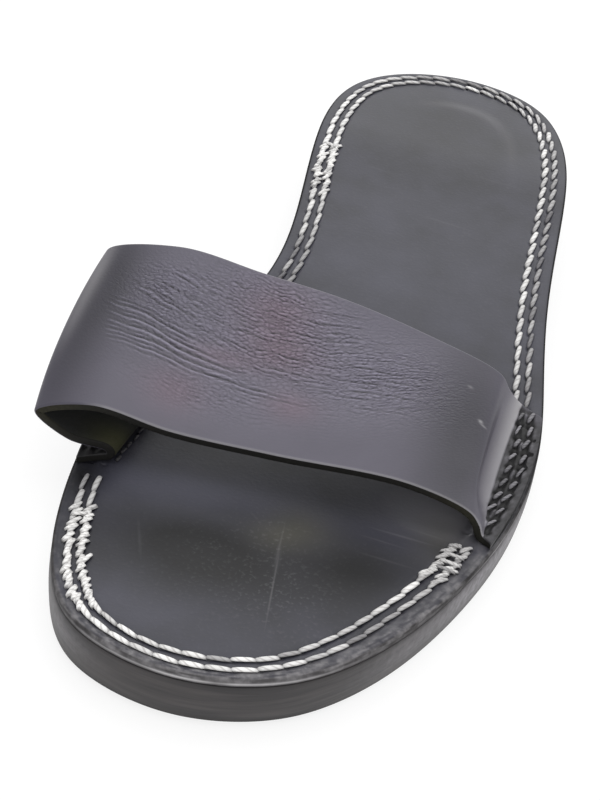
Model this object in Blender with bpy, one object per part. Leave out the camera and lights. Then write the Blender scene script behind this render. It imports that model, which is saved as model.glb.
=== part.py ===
"""A flat leather slide for the left foot: outsole, heel lift, footbed and one broad strap.

Sizes are in millimetres and become metres when a mesh is made. The sandal stands on z = 0, its toe
towards -Y and its outer side towards +X. `along` runs from the heel's back to the toe, `across` from
the sole's long axis to the outer side (lateral), and `rise` is the height above the footbed.
"""

import bmesh
import bpy
import numpy as np

MM = 0.001
WELD = 1e-6

# Driving sizes
SOLE_LENGTH = 270.0
FOOTBED_THICKNESS = 2.0
STRAP_THICKNESS = 2.0
SEAT_GAP = 0.3
BREAST_ALONG = 78.0
# The strap's slack overhangs the inner side, so the middle of the whole sandal lies off the sole's axis
BOX_MIDDLE_ACROSS = -7.3

# Outline seen from above: half widths to the inner (medial) and outer (lateral) side of the long axis
HEEL_BACK_ACROSS = 3.0
TOE_TIP_ACROSS = -12.0
OUTLINE_COLUMNS = ("along", "medial", "lateral")
OUTLINE = (
    (6.0, 17.0, 22.7),
    (20.0, 29.2, 33.2),
    (45.0, 33.4, 39.4),
    (85.0, 30.2, 41.8),
    (115.0, 28.5, 43.5),
    (140.0, 32.8, 46.4),
    (165.0, 44.2, 49.1),
    (190.0, 51.4, 47.6),
    (215.0, 51.4, 41.2),
    (240.0, 47.2, 30.3),
    (256.0, 40.8, 18.9),
    (265.0, 31.7, 7.3),
)

# Side view: the footbed's upper face and the outsole's underside, over the floor
HEIGHT_COLUMNS = ("along", "footbed_top", "outsole_under")
HEIGHTS = (
    (0.0, 20.9, 5.0),
    (45.0, 20.9, 5.0),
    (78.0, 19.0, 5.0),
    (120.0, 16.5, 2.8),
    (160.0, 13.4, 0.0),
    (192.0, 11.5, 0.0),
    (222.0, 12.0, 0.0),
    (270.0, 14.0, 1.2),
)

# The strap's outer face where it is cut across, front to rear. `centre` is the place along the sole on
# its axis, the folds are where it turns outwards onto the footbed, and the rest are (across, rise) pairs.
STRAP_SKEW = 0.07
STRAP_COLUMNS = (
    "centre", "medial_fold", "under", "bulge", "medial_top", "medial_crown",
    "crown", "lateral_top", "lateral_wall", "lateral_fold",
)
STRAP_SECTIONS = (
    (208.0, -45.0, (-54.0, 4.2), (-62.0, 10.3), (-49.5, 15.5), (-31.0, 12.9),
     (-8.0, 12.6), (22.0, 12.9), (37.0, 8.6), 39.2),
    (183.0, -41.5, (-53.0, 6.8), (-64.0, 16.8), (-48.5, 21.3), (-28.0, 19.0),
     (-6.0, 17.2), (20.0, 15.1), (36.4, 9.0), 39.6),
    (158.0, -37.5, (-50.0, 10.5), (-62.5, 21.8), (-45.0, 27.1), (-24.0, 24.5),
     (-4.0, 21.9), (18.0, 16.4), (35.8, 10.0), 41.4),
)
FOLD_RADIUS = 0.5
FLANGE_INSET = 0.6
# How far a flange's edge lies nearer the toe than its fold, for each millimetre of its width
FLANGE_LEAD = 0.5

# Edge shapes: (inset from the outline, share of the height from the lower to the upper face)
OUTSOLE_EDGE = ((1.0, 0.0), (0.3, 0.07), (0.0, 0.3), (-0.2, 0.6), (0.0, 0.9), (0.5, 1.0))
HEEL_EDGE = ((1.2, 0.0), (0.5, 0.2), (0.4, 1.0))
FOOTBED_EDGE = ((0.4, 0.0), (0.1, 0.25), (0.1, 0.6), (0.4, 0.86), (1.0, 1.0))

# Fineness of the facets, and the angle from which an edge shows as sharp
OUTLINE_READINGS = 4000
OUTLINE_STATIONS = 56
HEEL_STATIONS = 24
STRAP_ROWS = 15
STRAP_STEPS_EACH = 5
EDGE_TRIES = 8
SHARP_ANGLE = np.radians(35)


def column(table, names, name):
    """One named column of a table."""
    place = names.index(name)
    return np.array([row[place] for row in table], float)


def closed_curve(points, count):
    """Closed cubic spline through the points, smooth at each one, read at `count` places."""
    points = np.asarray(points, float)
    n = len(points)
    gaps = np.sqrt(np.linalg.norm(np.roll(points, -1, axis=0) - points, axis=1))
    before = np.roll(gaps, 1)
    rows = np.arange(n)
    system = np.zeros((n, n))
    system[rows, rows - 1] = before
    system[rows, rows] = 2 * (before + gaps)
    system[rows, (rows + 1) % n] = gaps
    chord = (np.roll(points, -1, axis=0) - points) / gaps[:, None]
    bend = np.linalg.solve(system, 6 * (chord - np.roll(chord, 1, axis=0)))
    knots = np.concatenate([[0.0], np.cumsum(gaps)])
    at = np.linspace(0.0, knots[-1], count, endpoint=False)
    span = np.searchsorted(knots, at, side="right") - 1
    step = gaps[span][:, None]
    left = (at - knots[span])[:, None]
    right = step - left
    ahead = (span + 1) % n
    cubic = (bend[span] * right**3 + bend[ahead] * left**3) / (6 * step)
    near = (points[span] / step - bend[span] * step / 6) * right
    far = (points[ahead] / step - bend[ahead] * step / 6) * left
    return cubic + near + far


def open_curve(points, steps_each):
    """Open curve through the points by centripetal Catmull-Rom pieces, each read in as many steps."""
    points = np.asarray(points, float)
    points = np.vstack([2 * points[0] - points[1], points, 2 * points[-1] - points[-2]])
    share = np.linspace(0.0, 1.0, steps_each, endpoint=False)[:, None]
    pieces = []
    for a, b, c, d in zip(points[:-3], points[1:-2], points[2:-1], points[3:]):
        t1 = np.sqrt(np.linalg.norm(b - a))
        t2 = t1 + np.sqrt(np.linalg.norm(c - b))
        t3 = t2 + np.sqrt(np.linalg.norm(d - c))
        t = t1 + (t2 - t1) * share
        ab = (t1 - t) / t1 * a + t / t1 * b
        bc = (t2 - t) / (t2 - t1) * b + (t - t1) / (t2 - t1) * c
        cd = (t3 - t) / (t3 - t2) * c + (t - t2) / (t3 - t2) * d
        abc = (t2 - t) / t2 * ab + t / t2 * bc
        bcd = (t3 - t) / (t3 - t1) * bc + (t - t1) / (t3 - t1) * cd
        pieces.append((t2 - t) / (t2 - t1) * abc + (t - t1) / (t2 - t1) * bcd)
    return np.vstack(pieces + [points[-2:-1]])


def smooth_table(along, table_along, values):
    """A table's values at other places, by a cubic that never passes beyond its neighbours."""
    x = np.asarray(table_along)
    y = np.asarray(values)
    slope = np.diff(y) / np.diff(x)
    lean = np.zeros(len(x))
    same_way = slope[:-1] * slope[1:] > 0
    mean = 2 * slope[:-1] * slope[1:] / np.where(same_way, slope[:-1] + slope[1:], 1.0)
    lean[1:-1] = np.where(same_way, mean, 0.0)
    lean[-1] = slope[-1]
    place = np.clip(np.searchsorted(x, along, side="right") - 1, 0, len(x) - 2)
    width = x[place + 1] - x[place]
    t = (along - x[place]) / width
    blend = t * t * (3 - 2 * t)
    bow = (lean[place] * (1 - t) - lean[place + 1] * t) * t * (1 - t) * width
    return y[place] * (1 - blend) + y[place + 1] * blend + bow


def footbed_top(along):
    """Height of the footbed's upper face over the floor."""
    heights = column(HEIGHTS, HEIGHT_COLUMNS, "footbed_top")
    return smooth_table(along, column(HEIGHTS, HEIGHT_COLUMNS, "along"), heights)


def footbed_under(along):
    """Height of the footbed's lower face over the floor."""
    return footbed_top(along) - FOOTBED_THICKNESS


def outsole_top(along):
    """Height of the outsole's upper face, a seat gap below the footbed."""
    return footbed_under(along) - SEAT_GAP


def outsole_under(along):
    """Height of the outsole's underside: on the lift, over the waist, on the floor, up at the toe."""
    heights = column(HEIGHTS, HEIGHT_COLUMNS, "outsole_under")
    return smooth_table(along, column(HEIGHTS, HEIGHT_COLUMNS, "along"), heights)


def heel_top(along):
    """Height of the heel lift's upper face, a seat gap below the outsole."""
    return outsole_under(np.zeros_like(along)) - SEAT_GAP


def floor(along):
    """The floor."""
    return np.zeros_like(along)


def outline_sides():
    """Lateral and medial side of the outline as dense (along, across) paths from heel to toe."""
    along = column(OUTLINE, OUTLINE_COLUMNS, "along")
    lateral = np.stack([along, column(OUTLINE, OUTLINE_COLUMNS, "lateral")], axis=1)
    medial = np.stack([along, -column(OUTLINE, OUTLINE_COLUMNS, "medial")], axis=1)
    tips = np.array([[0.0, HEEL_BACK_ACROSS], [SOLE_LENGTH, TOE_TIP_ACROSS]])
    loop = closed_curve(np.vstack([tips[:1], lateral, tips[1:], medial[::-1]]), OUTLINE_READINGS)
    loop = np.roll(loop, -loop[:, 0].argmin(), axis=0)
    toe = loop[:, 0].argmax()
    medial_side = np.vstack([loop[toe:], loop[:1]])[::-1]
    return loop[: toe + 1], medial_side


LATERAL_SIDE, MEDIAL_SIDE = outline_sides()


def ring(front, stations, inset):
    """The outline's two sides from heel to `front` at matching stations, moved inwards by `inset`."""
    turn = np.linspace(0.0, 1.0, stations)
    whole = front >= SOLE_LENGTH
    back = LATERAL_SIDE[0, 0]
    end = LATERAL_SIDE[-1, 0] if whole else front
    share = (1 - np.cos(np.pi * turn)) / 2 if whole else 1 - np.cos(np.pi / 2 * turn)
    along = back + (end - back) * share
    sides = []
    for path, outward in ((LATERAL_SIDE, 1.0), (MEDIAL_SIDE, -1.0)):
        across = np.interp(along, path[:, 0], path[:, 1])
        ahead = np.gradient(path, axis=0)
        ahead /= np.linalg.norm(ahead, axis=1)[:, None]
        lean = np.stack([np.interp(along, path[:, 0], ahead[:, k]) for k in range(2)], axis=1)
        lean[0] = (0.0, outward)
        if whole:
            lean[-1] = (0.0, -outward)
        lean /= np.linalg.norm(lean, axis=1)[:, None]
        inward = np.stack([lean[:, 1], -lean[:, 0]], axis=1) * outward
        sides.append(np.stack([along, across], axis=1) + inset * inward)
    return sides


def in_frame(along, across, height):
    """Points of the sandal in metres, in its own frame."""
    x = across - BOX_MIDDLE_ACROSS
    y = SOLE_LENGTH / 2 - along
    return np.stack([x, y, height], axis=-1) * MM


def finish(name, bm, material, sandal):
    """Welds a mesh's doubled points, points its faces outwards and adds it to the sandal."""
    bmesh.ops.remove_doubles(bm, verts=bm.verts, dist=WELD)
    bmesh.ops.recalc_face_normals(bm, faces=bm.faces)
    mesh = bpy.data.meshes.new(name)
    bm.to_mesh(mesh)
    bm.free()
    mesh.shade_smooth()
    mesh.set_sharp_from_angle(angle=SHARP_ANGLE)
    mesh.materials.append(material)
    made = bpy.data.objects.new(name, mesh)
    made.parent = sandal
    bpy.context.scene.collection.objects.link(made)


def grid_faces(bm, verts, close):
    """Four-sided faces between neighbours of a grid of points, also from last to first if it closes."""
    rows, columns = verts.shape
    for i in range(rows - 1):
        for j in range(columns if close else columns - 1):
            k = (j + 1) % columns
            bm.faces.new((verts[i, j], verts[i, k], verts[i + 1, k], verts[i + 1, j]))


def grid_verts(bm, points):
    """A grid of mesh points."""
    made = np.empty(points.shape[:-1], dtype=object)
    for place in np.ndindex(made.shape):
        made[place] = bm.verts.new(points[place])
    return made


def sole_layer(name, edge, under, top, front, stations, material, sandal):
    """A layer of the sole: rings of the outline from its lower to its upper face, closed by strips."""
    bm = bmesh.new()
    rings = []
    for inset, share in edge:
        lateral, medial = ring(front, stations, inset)
        loop = []
        for side in (lateral, medial[::-1]):
            along = side[:, 0]
            height = under(along) * (1 - share) + top(along) * share
            loop.append(in_frame(along, side[:, 1], height))
        rings.append(np.concatenate(loop))
    verts = grid_verts(bm, np.array(rings))
    grid_faces(bm, verts, close=True)
    for face_ring in (verts[0], verts[-1]):
        pairs = np.stack([face_ring[:stations], face_ring[stations:][::-1]])
        grid_faces(bm, pairs, close=False)
    finish(name, bm, material, sandal)


def flange_edge(side, fold, centre):
    """Where a strap's flange that starts at `fold` ends on the footbed, and its lead towards the toe."""
    path, outward = (LATERAL_SIDE, 1.0) if side == "lateral" else (MEDIAL_SIDE, -1.0)
    across = fold
    for _ in range(EDGE_TRIES):
        lead = FLANGE_LEAD * abs(across - fold)
        along = centre - STRAP_SKEW * across + lead
        across = np.interp(along, path[:, 0], path[:, 1]) - outward * FLANGE_INSET
    return across, lead


def strap_section(share):
    """The strap's outer face where it is cut across, from the inner flange's edge to the outer one's.

    `share` runs from 0 at the front edge to 1 at the rear edge; the table's sections lie evenly between.
    Its points hold across, rise, and how far each lies towards the toe from the straight cut.
    """
    at = np.linspace(0.0, 1.0, len(STRAP_SECTIONS))

    def size(name, part=None):
        picked = [row[STRAP_COLUMNS.index(name)] for row in STRAP_SECTIONS]
        values = [value if part is None else value[part] for value in picked]
        return float(np.polyval(np.polyfit(at, values, len(at) - 1), share))

    centre = size("centre")
    lying = SEAT_GAP + STRAP_THICKNESS
    turned = lying + 2 * FOLD_RADIUS
    inner = size("medial_fold")
    outer = size("lateral_fold")
    inner_edge, inner_lead = flange_edge("medial", inner, centre)
    outer_edge, outer_lead = flange_edge("lateral", outer, centre)
    points = [
        (inner_edge, lying, inner_lead),
        (inner - 2 * FOLD_RADIUS, lying, 0.0),
        (inner, lying + FOLD_RADIUS, 0.0),
        (inner - FOLD_RADIUS, turned, 0.0),
    ]
    named = ("under", "bulge", "medial_top", "medial_crown", "crown", "lateral_top", "lateral_wall")
    points += [(size(name, 0), size(name, 1), 0.0) for name in named]
    points += [
        (outer - 2 * FOLD_RADIUS, turned, 0.0),
        (outer + FOLD_RADIUS, lying, 0.0),
        (outer_edge, lying, outer_lead),
    ]
    return centre, open_curve(points, STRAP_STEPS_EACH)


def strap_loop(share):
    """A closed loop round the strap's wall where it is cut across: outer face, then inner face back."""
    centre, section = strap_section(share)
    outer = section[:, :2]
    ahead = np.gradient(outer, axis=0)
    ahead /= np.linalg.norm(ahead, axis=1)[:, None]
    inward = np.stack([ahead[:, 1], -ahead[:, 0]], axis=1)
    inner = outer + STRAP_THICKNESS * inward
    wall = np.vstack([outer, inner[::-1]])
    lead = np.concatenate([section[:, 2], section[::-1, 2]])
    along = centre - STRAP_SKEW * wall[:, 0] + lead
    return in_frame(along, wall[:, 0], footbed_top(along) + wall[:, 1])


def strap_band(name, material, sandal):
    """The strap: loops round its wall from front to rear, joined, with its two cut edges closed."""
    bm = bmesh.new()
    loops = np.array([strap_loop(share) for share in np.linspace(0.0, 1.0, STRAP_ROWS)])
    verts = grid_verts(bm, loops)
    grid_faces(bm, verts, close=True)
    half = loops.shape[1] // 2
    for cut in (verts[0], verts[-1]):
        pairs = np.stack([cut[:half], cut[half:][::-1]])
        grid_faces(bm, pairs, close=False)
    finish(name, bm, material, sandal)


def coating(name, colour, roughness):
    """A plain finish of one colour."""
    made = bpy.data.materials.new(name)
    made.use_nodes = True
    shader = made.node_tree.nodes["Principled BSDF"]
    shader.inputs["Base Color"].default_value = (*colour, 1.0)
    shader.inputs["Roughness"].default_value = roughness
    shader.inputs["Metallic"].default_value = 0.0
    return made


def main():
    for old in list(bpy.data.objects):
        bpy.data.objects.remove(old, do_unlink=True)
    rubber = coating("black_rubber", (0.030, 0.030, 0.032), 0.6)
    insole_leather = coating("dark_insole_leather", (0.085, 0.085, 0.095), 0.5)
    strap_leather = coating("dark_strap_leather", (0.075, 0.070, 0.080), 0.5)
    sandal = bpy.data.objects.new("sandal", None)
    bpy.context.scene.collection.objects.link(sandal)
    whole = (SOLE_LENGTH, OUTLINE_STATIONS)
    rear = (BREAST_ALONG, HEEL_STATIONS)
    sole_layer("outsole", OUTSOLE_EDGE, outsole_under, outsole_top, *whole, rubber, sandal)
    sole_layer("heel", HEEL_EDGE, floor, heel_top, *rear, rubber, sandal)
    sole_layer("footbed", FOOTBED_EDGE, footbed_under, footbed_top, *whole, insole_leather, sandal)
    strap_band("strap", strap_leather, sandal)


main()
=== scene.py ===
"""A flat leather slide for the left foot, dressed: outsole, heel lift, footbed, strap and its thread.

Lengths are millimetres in the sandal's own sizes until a mesh is made. `along` runs from the heel's back to
the toe, `across` from the sole's long axis to the outer side (lateral), and `rise` is the height above the
footbed. `way` is the way round the outline from the heel's back, by the outer side to the toe and back by the
inner side (medial), and `inset` is how far a point lies inside the outline.
"""

from functools import partial

import bmesh
import bpy
import numpy as np
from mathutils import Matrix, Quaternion, Vector


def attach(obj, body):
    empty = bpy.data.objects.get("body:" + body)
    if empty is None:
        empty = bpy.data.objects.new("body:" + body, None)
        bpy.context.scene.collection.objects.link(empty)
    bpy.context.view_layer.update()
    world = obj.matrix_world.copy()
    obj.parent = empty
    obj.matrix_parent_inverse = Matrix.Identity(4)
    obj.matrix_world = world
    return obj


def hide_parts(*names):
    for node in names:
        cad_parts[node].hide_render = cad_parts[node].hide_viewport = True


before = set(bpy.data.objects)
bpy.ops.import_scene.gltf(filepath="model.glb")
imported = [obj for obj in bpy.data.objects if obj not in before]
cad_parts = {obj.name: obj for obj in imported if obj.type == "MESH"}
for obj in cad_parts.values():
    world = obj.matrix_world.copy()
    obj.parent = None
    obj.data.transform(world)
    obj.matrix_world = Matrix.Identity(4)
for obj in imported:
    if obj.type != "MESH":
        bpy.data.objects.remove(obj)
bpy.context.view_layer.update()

MM = 0.001
WELD = 1e-6

# Driving sizes
SOLE_LENGTH = 270.0
FOOTBED_THICKNESS = 2.0
STRAP_THICKNESS = 2.0
SEAT_GAP = 0.3
BREAST_ALONG = 78.0
BOX_MIDDLE_ACROSS = -7.3

# Outline seen from above: half widths to the inner and outer side of the long axis
HEEL_BACK_ACROSS = 3.0
TOE_TIP_ACROSS = -12.0
OUTLINE_COLUMNS = ("along", "medial", "lateral")
OUTLINE = (
    (6.0, 17.0, 22.7),
    (20.0, 29.2, 33.2),
    (45.0, 33.4, 39.4),
    (85.0, 30.2, 41.8),
    (115.0, 28.5, 43.5),
    (140.0, 32.8, 46.4),
    (165.0, 44.2, 49.1),
    (190.0, 51.4, 47.6),
    (215.0, 51.4, 41.2),
    (240.0, 47.2, 30.3),
    (256.0, 40.8, 18.9),
    (265.0, 31.7, 7.3),
)
OUTLINE_READINGS = 4000

# Side view: the footbed's upper face and the outsole's underside, over the floor
HEIGHT_COLUMNS = ("along", "footbed_top", "outsole_under")
HEIGHTS = (
    (0.0, 20.9, 5.0),
    (45.0, 20.9, 5.0),
    (78.0, 19.0, 5.0),
    (120.0, 16.5, 2.8),
    (160.0, 13.4, 0.0),
    (192.0, 11.5, 0.0),
    (222.0, 12.0, 0.0),
    (270.0, 14.0, 1.2),
)

# The strap's outer face where it is cut across, front to rear, as in the solids: (across, rise) pairs
STRAP_SKEW = 0.07
STRAP_WIDTH = 50.0
STRAP_COLUMNS = (
    "centre", "medial_fold", "under", "bulge", "medial_top", "medial_crown",
    "crown", "lateral_top", "lateral_wall", "lateral_fold",
)
STRAP_SECTIONS = (
    (208.0, -45.0, (-54.0, 4.2), (-62.0, 10.3), (-49.5, 15.5), (-31.0, 12.9),
     (-8.0, 12.6), (22.0, 12.9), (37.0, 8.6), 39.2),
    (183.0, -41.5, (-53.0, 6.8), (-64.0, 16.8), (-48.5, 21.3), (-28.0, 19.0),
     (-6.0, 17.2), (20.0, 15.1), (36.4, 9.0), 39.6),
    (158.0, -37.5, (-50.0, 10.5), (-62.5, 21.8), (-45.0, 27.1), (-24.0, 24.5),
     (-4.0, 21.9), (18.0, 16.4), (35.8, 10.0), 41.4),
)
FOLD_RADIUS = 0.5
# Where the outer wall turns into its flange, at the strap's front and from a share of its width on:
# out from the fold, and up from the flange's face
OUTER_TURN = (((0.7, 3.0), (2.1, 0.0)), ((-2.3, 3.3), (1.4, 0.0)))
TURN_SHARE = 0.32
FLANGE_INSET = 0.6
FLANGE_LEAD = 0.5
EDGE_TRIES = 8
LYING = SEAT_GAP + STRAP_THICKNESS
# Steps of the mesh in each piece of the strap's section, from the inner flange to the outer one
STRAP_STEPS = (18, 6, 6, 12, 20, 30, 34, 40, 52, 40, 14, 10, 28)
# Columns of that mesh: the two flanges, the crown's middle and the outer wall's foot
FLANGE_COLUMNS = {"medial": slice(0, STRAP_STEPS[0] + 1), "lateral": slice(sum(STRAP_STEPS[:-1]), None)}
CROWN_COLUMN = sum(STRAP_STEPS[:8])
OUTER_FOLD_COLUMN = sum(STRAP_STEPS[:-2])
STRAP_ROWS = 248
STRAP_INNER_ROWS = 30
CUT_ROUNDING = 0.35
CUT_STEPS = 5
# The strap's UV counts this length as one
UV_LENGTH = 100.0

# Edge shapes: (inset from the outline, share of the height from the lower to the upper face)
OUTSOLE_EDGE = ((1.0, 0.0), (0.3, 0.07), (0.0, 0.3), (-0.2, 0.6), (-0.1, 0.92), (0.15, 1.0))
HEEL_EDGE = ((1.2, 0.0), (0.5, 0.2), (0.4, 1.0))
FOOTBED_EDGE = ((0.15, 0.0), (0.0, 0.12), (0.0, 0.7), (0.2, 0.92), (0.6, 1.0))
EDGE_STEPS = 4
# A layer's faces run in to a line down its middle, from rings at this inset
FACE_INSET = 14.0
SPINE_HEEL = 36.0
SPINE_TOE = 228.0
# Steps of a layer's mesh: stations a side, rings, and steps from the last ring to the spine
OUTSOLE_MESH = (420, 6, 4)
FOOTBED_MESH = (660, 32, 20)
# Rings and steps to the spine of every layer's underside
UNDER_MESH = (3, 2)
# A side follows the dents of the upper face near its top, by this power of its share of the height
EDGE_FOLLOW = 4
HEEL_SIDE_STEPS = 90
HEEL_BREAST_STEPS = 40
HEEL_FACE_STEPS = 4

# Sewing: two rows of white thread round the toe and the heel, two of black along the strap's flanges.
# How far each white row lies inside the outline, how far a stitch slants inwards, and how bright the thread
# is:
# clean against soiled, and dimmed as painted shade beside the strap's inner side
ROW_COLUMNS = ("way", "outer", "inner", "slant", "outer_clean", "inner_clean")
ROWS = (
    (0.0, 2.9, 5.9, 1.5, 0.40, 0.60),
    (40.0, 3.6, 6.4, 1.6, 0.45, 0.68),
    (90.0, 3.8, 6.7, 1.4, 0.36, 0.80),
    (128.0, 4.0, 6.9, 1.2, 0.30, 0.80),
    (170.0, 4.1, 7.1, 1.1, 0.32, 0.66),
    (240.0, 4.4, 7.5, 0.8, 0.65, 0.75),
    (262.0, 4.9, 7.9, 0.5, 0.30, 0.60),
    (282.0, 3.9, 6.9, 0.4, 0.45, 0.60),
    (300.0, 2.9, 5.7, 0.3, 0.85, 0.68),
    (330.0, 2.8, 5.6, 0.3, 0.95, 0.82),
    (355.0, 3.2, 6.2, 0.5, 1.00, 0.96),
    (378.0, 3.8, 6.6, 0.7, 0.70, 0.80),
    # From here to way 486 the thread is dimmed as painted shade beside the strap's inner side
    (388.0, 3.8, 6.6, 0.7, 0.10, 0.25),
    (396.0, 3.8, 6.6, 0.7, 0.00, 0.10),
    (486.0, 3.8, 6.6, 0.7, 0.10, 0.40),
    (500.0, 3.7, 6.5, 0.9, 0.40, 0.55),
    (520.0, 3.4, 6.3, 0.9, 0.60, 0.70),
    (545.0, 3.1, 6.1, 0.8, 1.00, 0.95),
    (580.0, 3.8, 6.7, 0.7, 0.90, 0.75),
    (612.0, 3.2, 6.2, 1.1, 0.50, 0.60),
)
WHITE_PITCH = 5.75
WHITE_REACH = 1.22
BLACK_PITCH = 5.2
BLACK_REACH = 0.75
BLACK_SLANT = 1.3
BLACK_STRAY = 0.12
THREAD_WIDTH = 1.45
THREAD_HEIGHT = 0.75
# Dimmer white thread is drawn thinner, down to this share of its width
WORN_WIDTH = 0.75
BLACK_ROWS = {"lateral": (3.4, 5.7), "medial": (2.0, 4.1)}
# How far these rows run past one end of the flange, as it slants there
ROW_LEAD = {"lateral": 1.6, "medial": -9.0}
# Where a row was sewn over again: ways round from and to, how often, how far those stitches stray and slant
BACK_STITCHES = (
    (229.0, 247.0, 2, 0.40, 1.2),
    (342.0, 383.0, 2, 0.38, 1.5),
    (525.0, 554.0, 2, 0.30, 1.2),
)
BACK_PITCH = 2.7
BACK_WIDTH = 0.75
# One more black row, on the footbed along the inner fold
FOLD_ROW_WAYS = (397.0, 424.0)
FOLD_ROW_INSETS = (9.0, 12.6)
FOLD_ROW_BASE = 0.2
FOLD_PITCH = 3.4
# How far the black thread shows grey: wax bloom and painted highlights on its glossy tops
THREAD_GREY = {"lateral": 1.0, "medial": 0.12}
# Single stitches that cross from one row to the other: way and inset where each starts, and where it ends
CROSS_STITCHES = (
    (231.0, 5.4, 232.4, 8.8),
    (234.4, 3.2, 235.6, 8.6),
    (237.2, 2.6, 238.4, 8.0),
    (240.0, 2.4, 240.8, 7.6),
    (375.6, 2.9, 377.0, 6.9),
    (552.8, 2.7, 551.0, 6.6),
)
CROSS_BASE = 0.75
# How far the white rows stop short of the strap's flanges, at the outer front and at the other corners
FRONT_GAP = 1.5
CORNER_GAP = 1.0
# How far the black rows stop short of their flange's other end
ROW_END_GAP = 0.8
# Spread by chance: of where a stitch starts and ends, how far it leans, how high it lies on others, how
# bright the white thread is and how thick, how far the black thread shows grey with wax and painted
# highlight, and how thick that is
WAY_SPREAD = 0.10
LEAN_SPREAD = 0.08
OVERLAP_RISE = 1.2
CLEAN_SPREAD = 0.16
WHITE_SIZES = (0.9, 1.1)
THREAD_GREY_SHARES = (0.4, 1.0)
BLACK_SIZES = (0.50, 0.75)
STITCH_SEED = 7


def column(table, names, name):
    """One named column of a table."""
    place = names.index(name)
    return np.array([row[place] for row in table], float)


def unit(values):
    """Values held between 0 and 1."""
    return np.clip(values, 0.0, 1.0)


def ease(t):
    """A share from 0 to 1 that sets off and arrives softly."""
    return t * t * (3 - 2 * t)


def bell(x):
    """A soft bell: 1 at 0, falling off to both sides over about 1."""
    return np.exp(-(x**2))


def mix(a, b, share):
    """Between a and b, at a share of the way."""
    return a * (1 - share) + b * share


def closed_curve(points, count):
    """Closed cubic spline through the points, smooth at each one, read at `count` places."""
    points = np.asarray(points, float)
    n = len(points)
    gaps = np.sqrt(np.linalg.norm(np.roll(points, -1, axis=0) - points, axis=1))
    before = np.roll(gaps, 1)
    rows = np.arange(n)
    system = np.zeros((n, n))
    system[rows, rows - 1] = before
    system[rows, rows] = 2 * (before + gaps)
    system[rows, (rows + 1) % n] = gaps
    chord = (np.roll(points, -1, axis=0) - points) / gaps[:, None]
    bend = np.linalg.solve(system, 6 * (chord - np.roll(chord, 1, axis=0)))
    knots = np.concatenate([[0.0], np.cumsum(gaps)])
    at = np.linspace(0.0, knots[-1], count, endpoint=False)
    span = np.searchsorted(knots, at, side="right") - 1
    step = gaps[span][:, None]
    left = (at - knots[span])[:, None]
    right = step - left
    ahead = (span + 1) % n
    cubic = (bend[span] * right**3 + bend[ahead] * left**3) / (6 * step)
    near = (points[span] / step - bend[span] * step / 6) * right
    far = (points[ahead] / step - bend[ahead] * step / 6) * left
    return cubic + near + far


def through(points, steps):
    """Rows of open curves through rows of points, by centripetal Catmull-Rom pieces.

    `points` is rows by points by sizes. Piece k of every row is read in steps[k] steps; the knots are spaced
    by the square root of the distance in the section's own plane, its first two sizes.
    """
    first = 2 * points[:, :1] - points[:, 1:2]
    last = 2 * points[:, -1:] - points[:, -2:-1]
    points = np.concatenate([first, points, last], axis=1)
    gaps = np.sqrt(np.linalg.norm(np.diff(points[..., :2], axis=1), axis=2))
    pieces = []
    for k, count in enumerate(steps):
        a, b, c, d = (points[:, k + j, None, :] for j in range(4))
        t1, t2, t3 = (np.sum(gaps[:, k:k + j], axis=1)[:, None, None] for j in (1, 2, 3))
        t = t1 + (t2 - t1) * np.linspace(0.0, 1.0, count, endpoint=False)[None, :, None]
        ab = (t1 - t) / t1 * a + t / t1 * b
        bc = (t2 - t) / (t2 - t1) * b + (t - t1) / (t2 - t1) * c
        cd = (t3 - t) / (t3 - t2) * c + (t - t2) / (t3 - t2) * d
        abc = (t2 - t) / t2 * ab + t / t2 * bc
        bcd = (t3 - t) / (t3 - t1) * bc + (t - t1) / (t3 - t1) * cd
        pieces.append((t2 - t) / (t2 - t1) * abc + (t - t1) / (t2 - t1) * bcd)
    return np.concatenate(pieces + [points[:, -2:-1]], axis=1)


def smooth_table(at, places, values):
    """A table's values at other places, by a cubic that never passes beyond its neighbours."""
    slope = np.diff(values) / np.diff(places)
    lean = np.zeros(len(places))
    same_way = slope[:-1] * slope[1:] > 0
    mean = 2 * slope[:-1] * slope[1:] / np.where(same_way, slope[:-1] + slope[1:], 1.0)
    lean[1:-1] = np.where(same_way, mean, 0.0)
    lean[-1] = slope[-1]
    place = np.clip(np.searchsorted(places, at, side="right") - 1, 0, len(places) - 2)
    width = places[place + 1] - places[place]
    t = (at - places[place]) / width
    bow = mix(lean[place], -lean[place + 1], t) * t * (1 - t) * width
    return mix(values[place], values[place + 1], ease(t)) + bow


# Soft noise comes round again after this many cells
NOISE_CELLS = 97


def soft_noise(x, y, size, seed, shift=0.0):
    """Smooth random heights from -1 to 1: random values on a lattice, blended between its cells' corners.

    `size` is the cells' size in x and in y. `shift` moves the lattice by so many cells in x.
    """
    x, y = x / size[0] + shift, y / size[1]
    lattice = np.random.default_rng(seed).uniform(-1.0, 1.0, (NOISE_CELLS, NOISE_CELLS))
    column_at, row_at = np.floor(x).astype(int), np.floor(y).astype(int)
    u, v = ease(x - column_at), ease(y - row_at)
    i, j = column_at % NOISE_CELLS, row_at % NOISE_CELLS
    k, m = (i + 1) % NOISE_CELLS, (j + 1) % NOISE_CELLS
    return mix(mix(lattice[i, j], lattice[k, j], u), mix(lattice[i, m], lattice[k, m], u), v)


def footbed_top(along):
    """Height of the footbed's upper face over the floor."""
    heights = column(HEIGHTS, HEIGHT_COLUMNS, "footbed_top")
    return smooth_table(along, column(HEIGHTS, HEIGHT_COLUMNS, "along"), heights)


def footbed_under(along):
    """Height of the footbed's lower face over the floor."""
    return footbed_top(along) - FOOTBED_THICKNESS


def outsole_top(along):
    """Height of the outsole's upper face, a seat gap below the footbed."""
    return footbed_under(along) - SEAT_GAP


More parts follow.
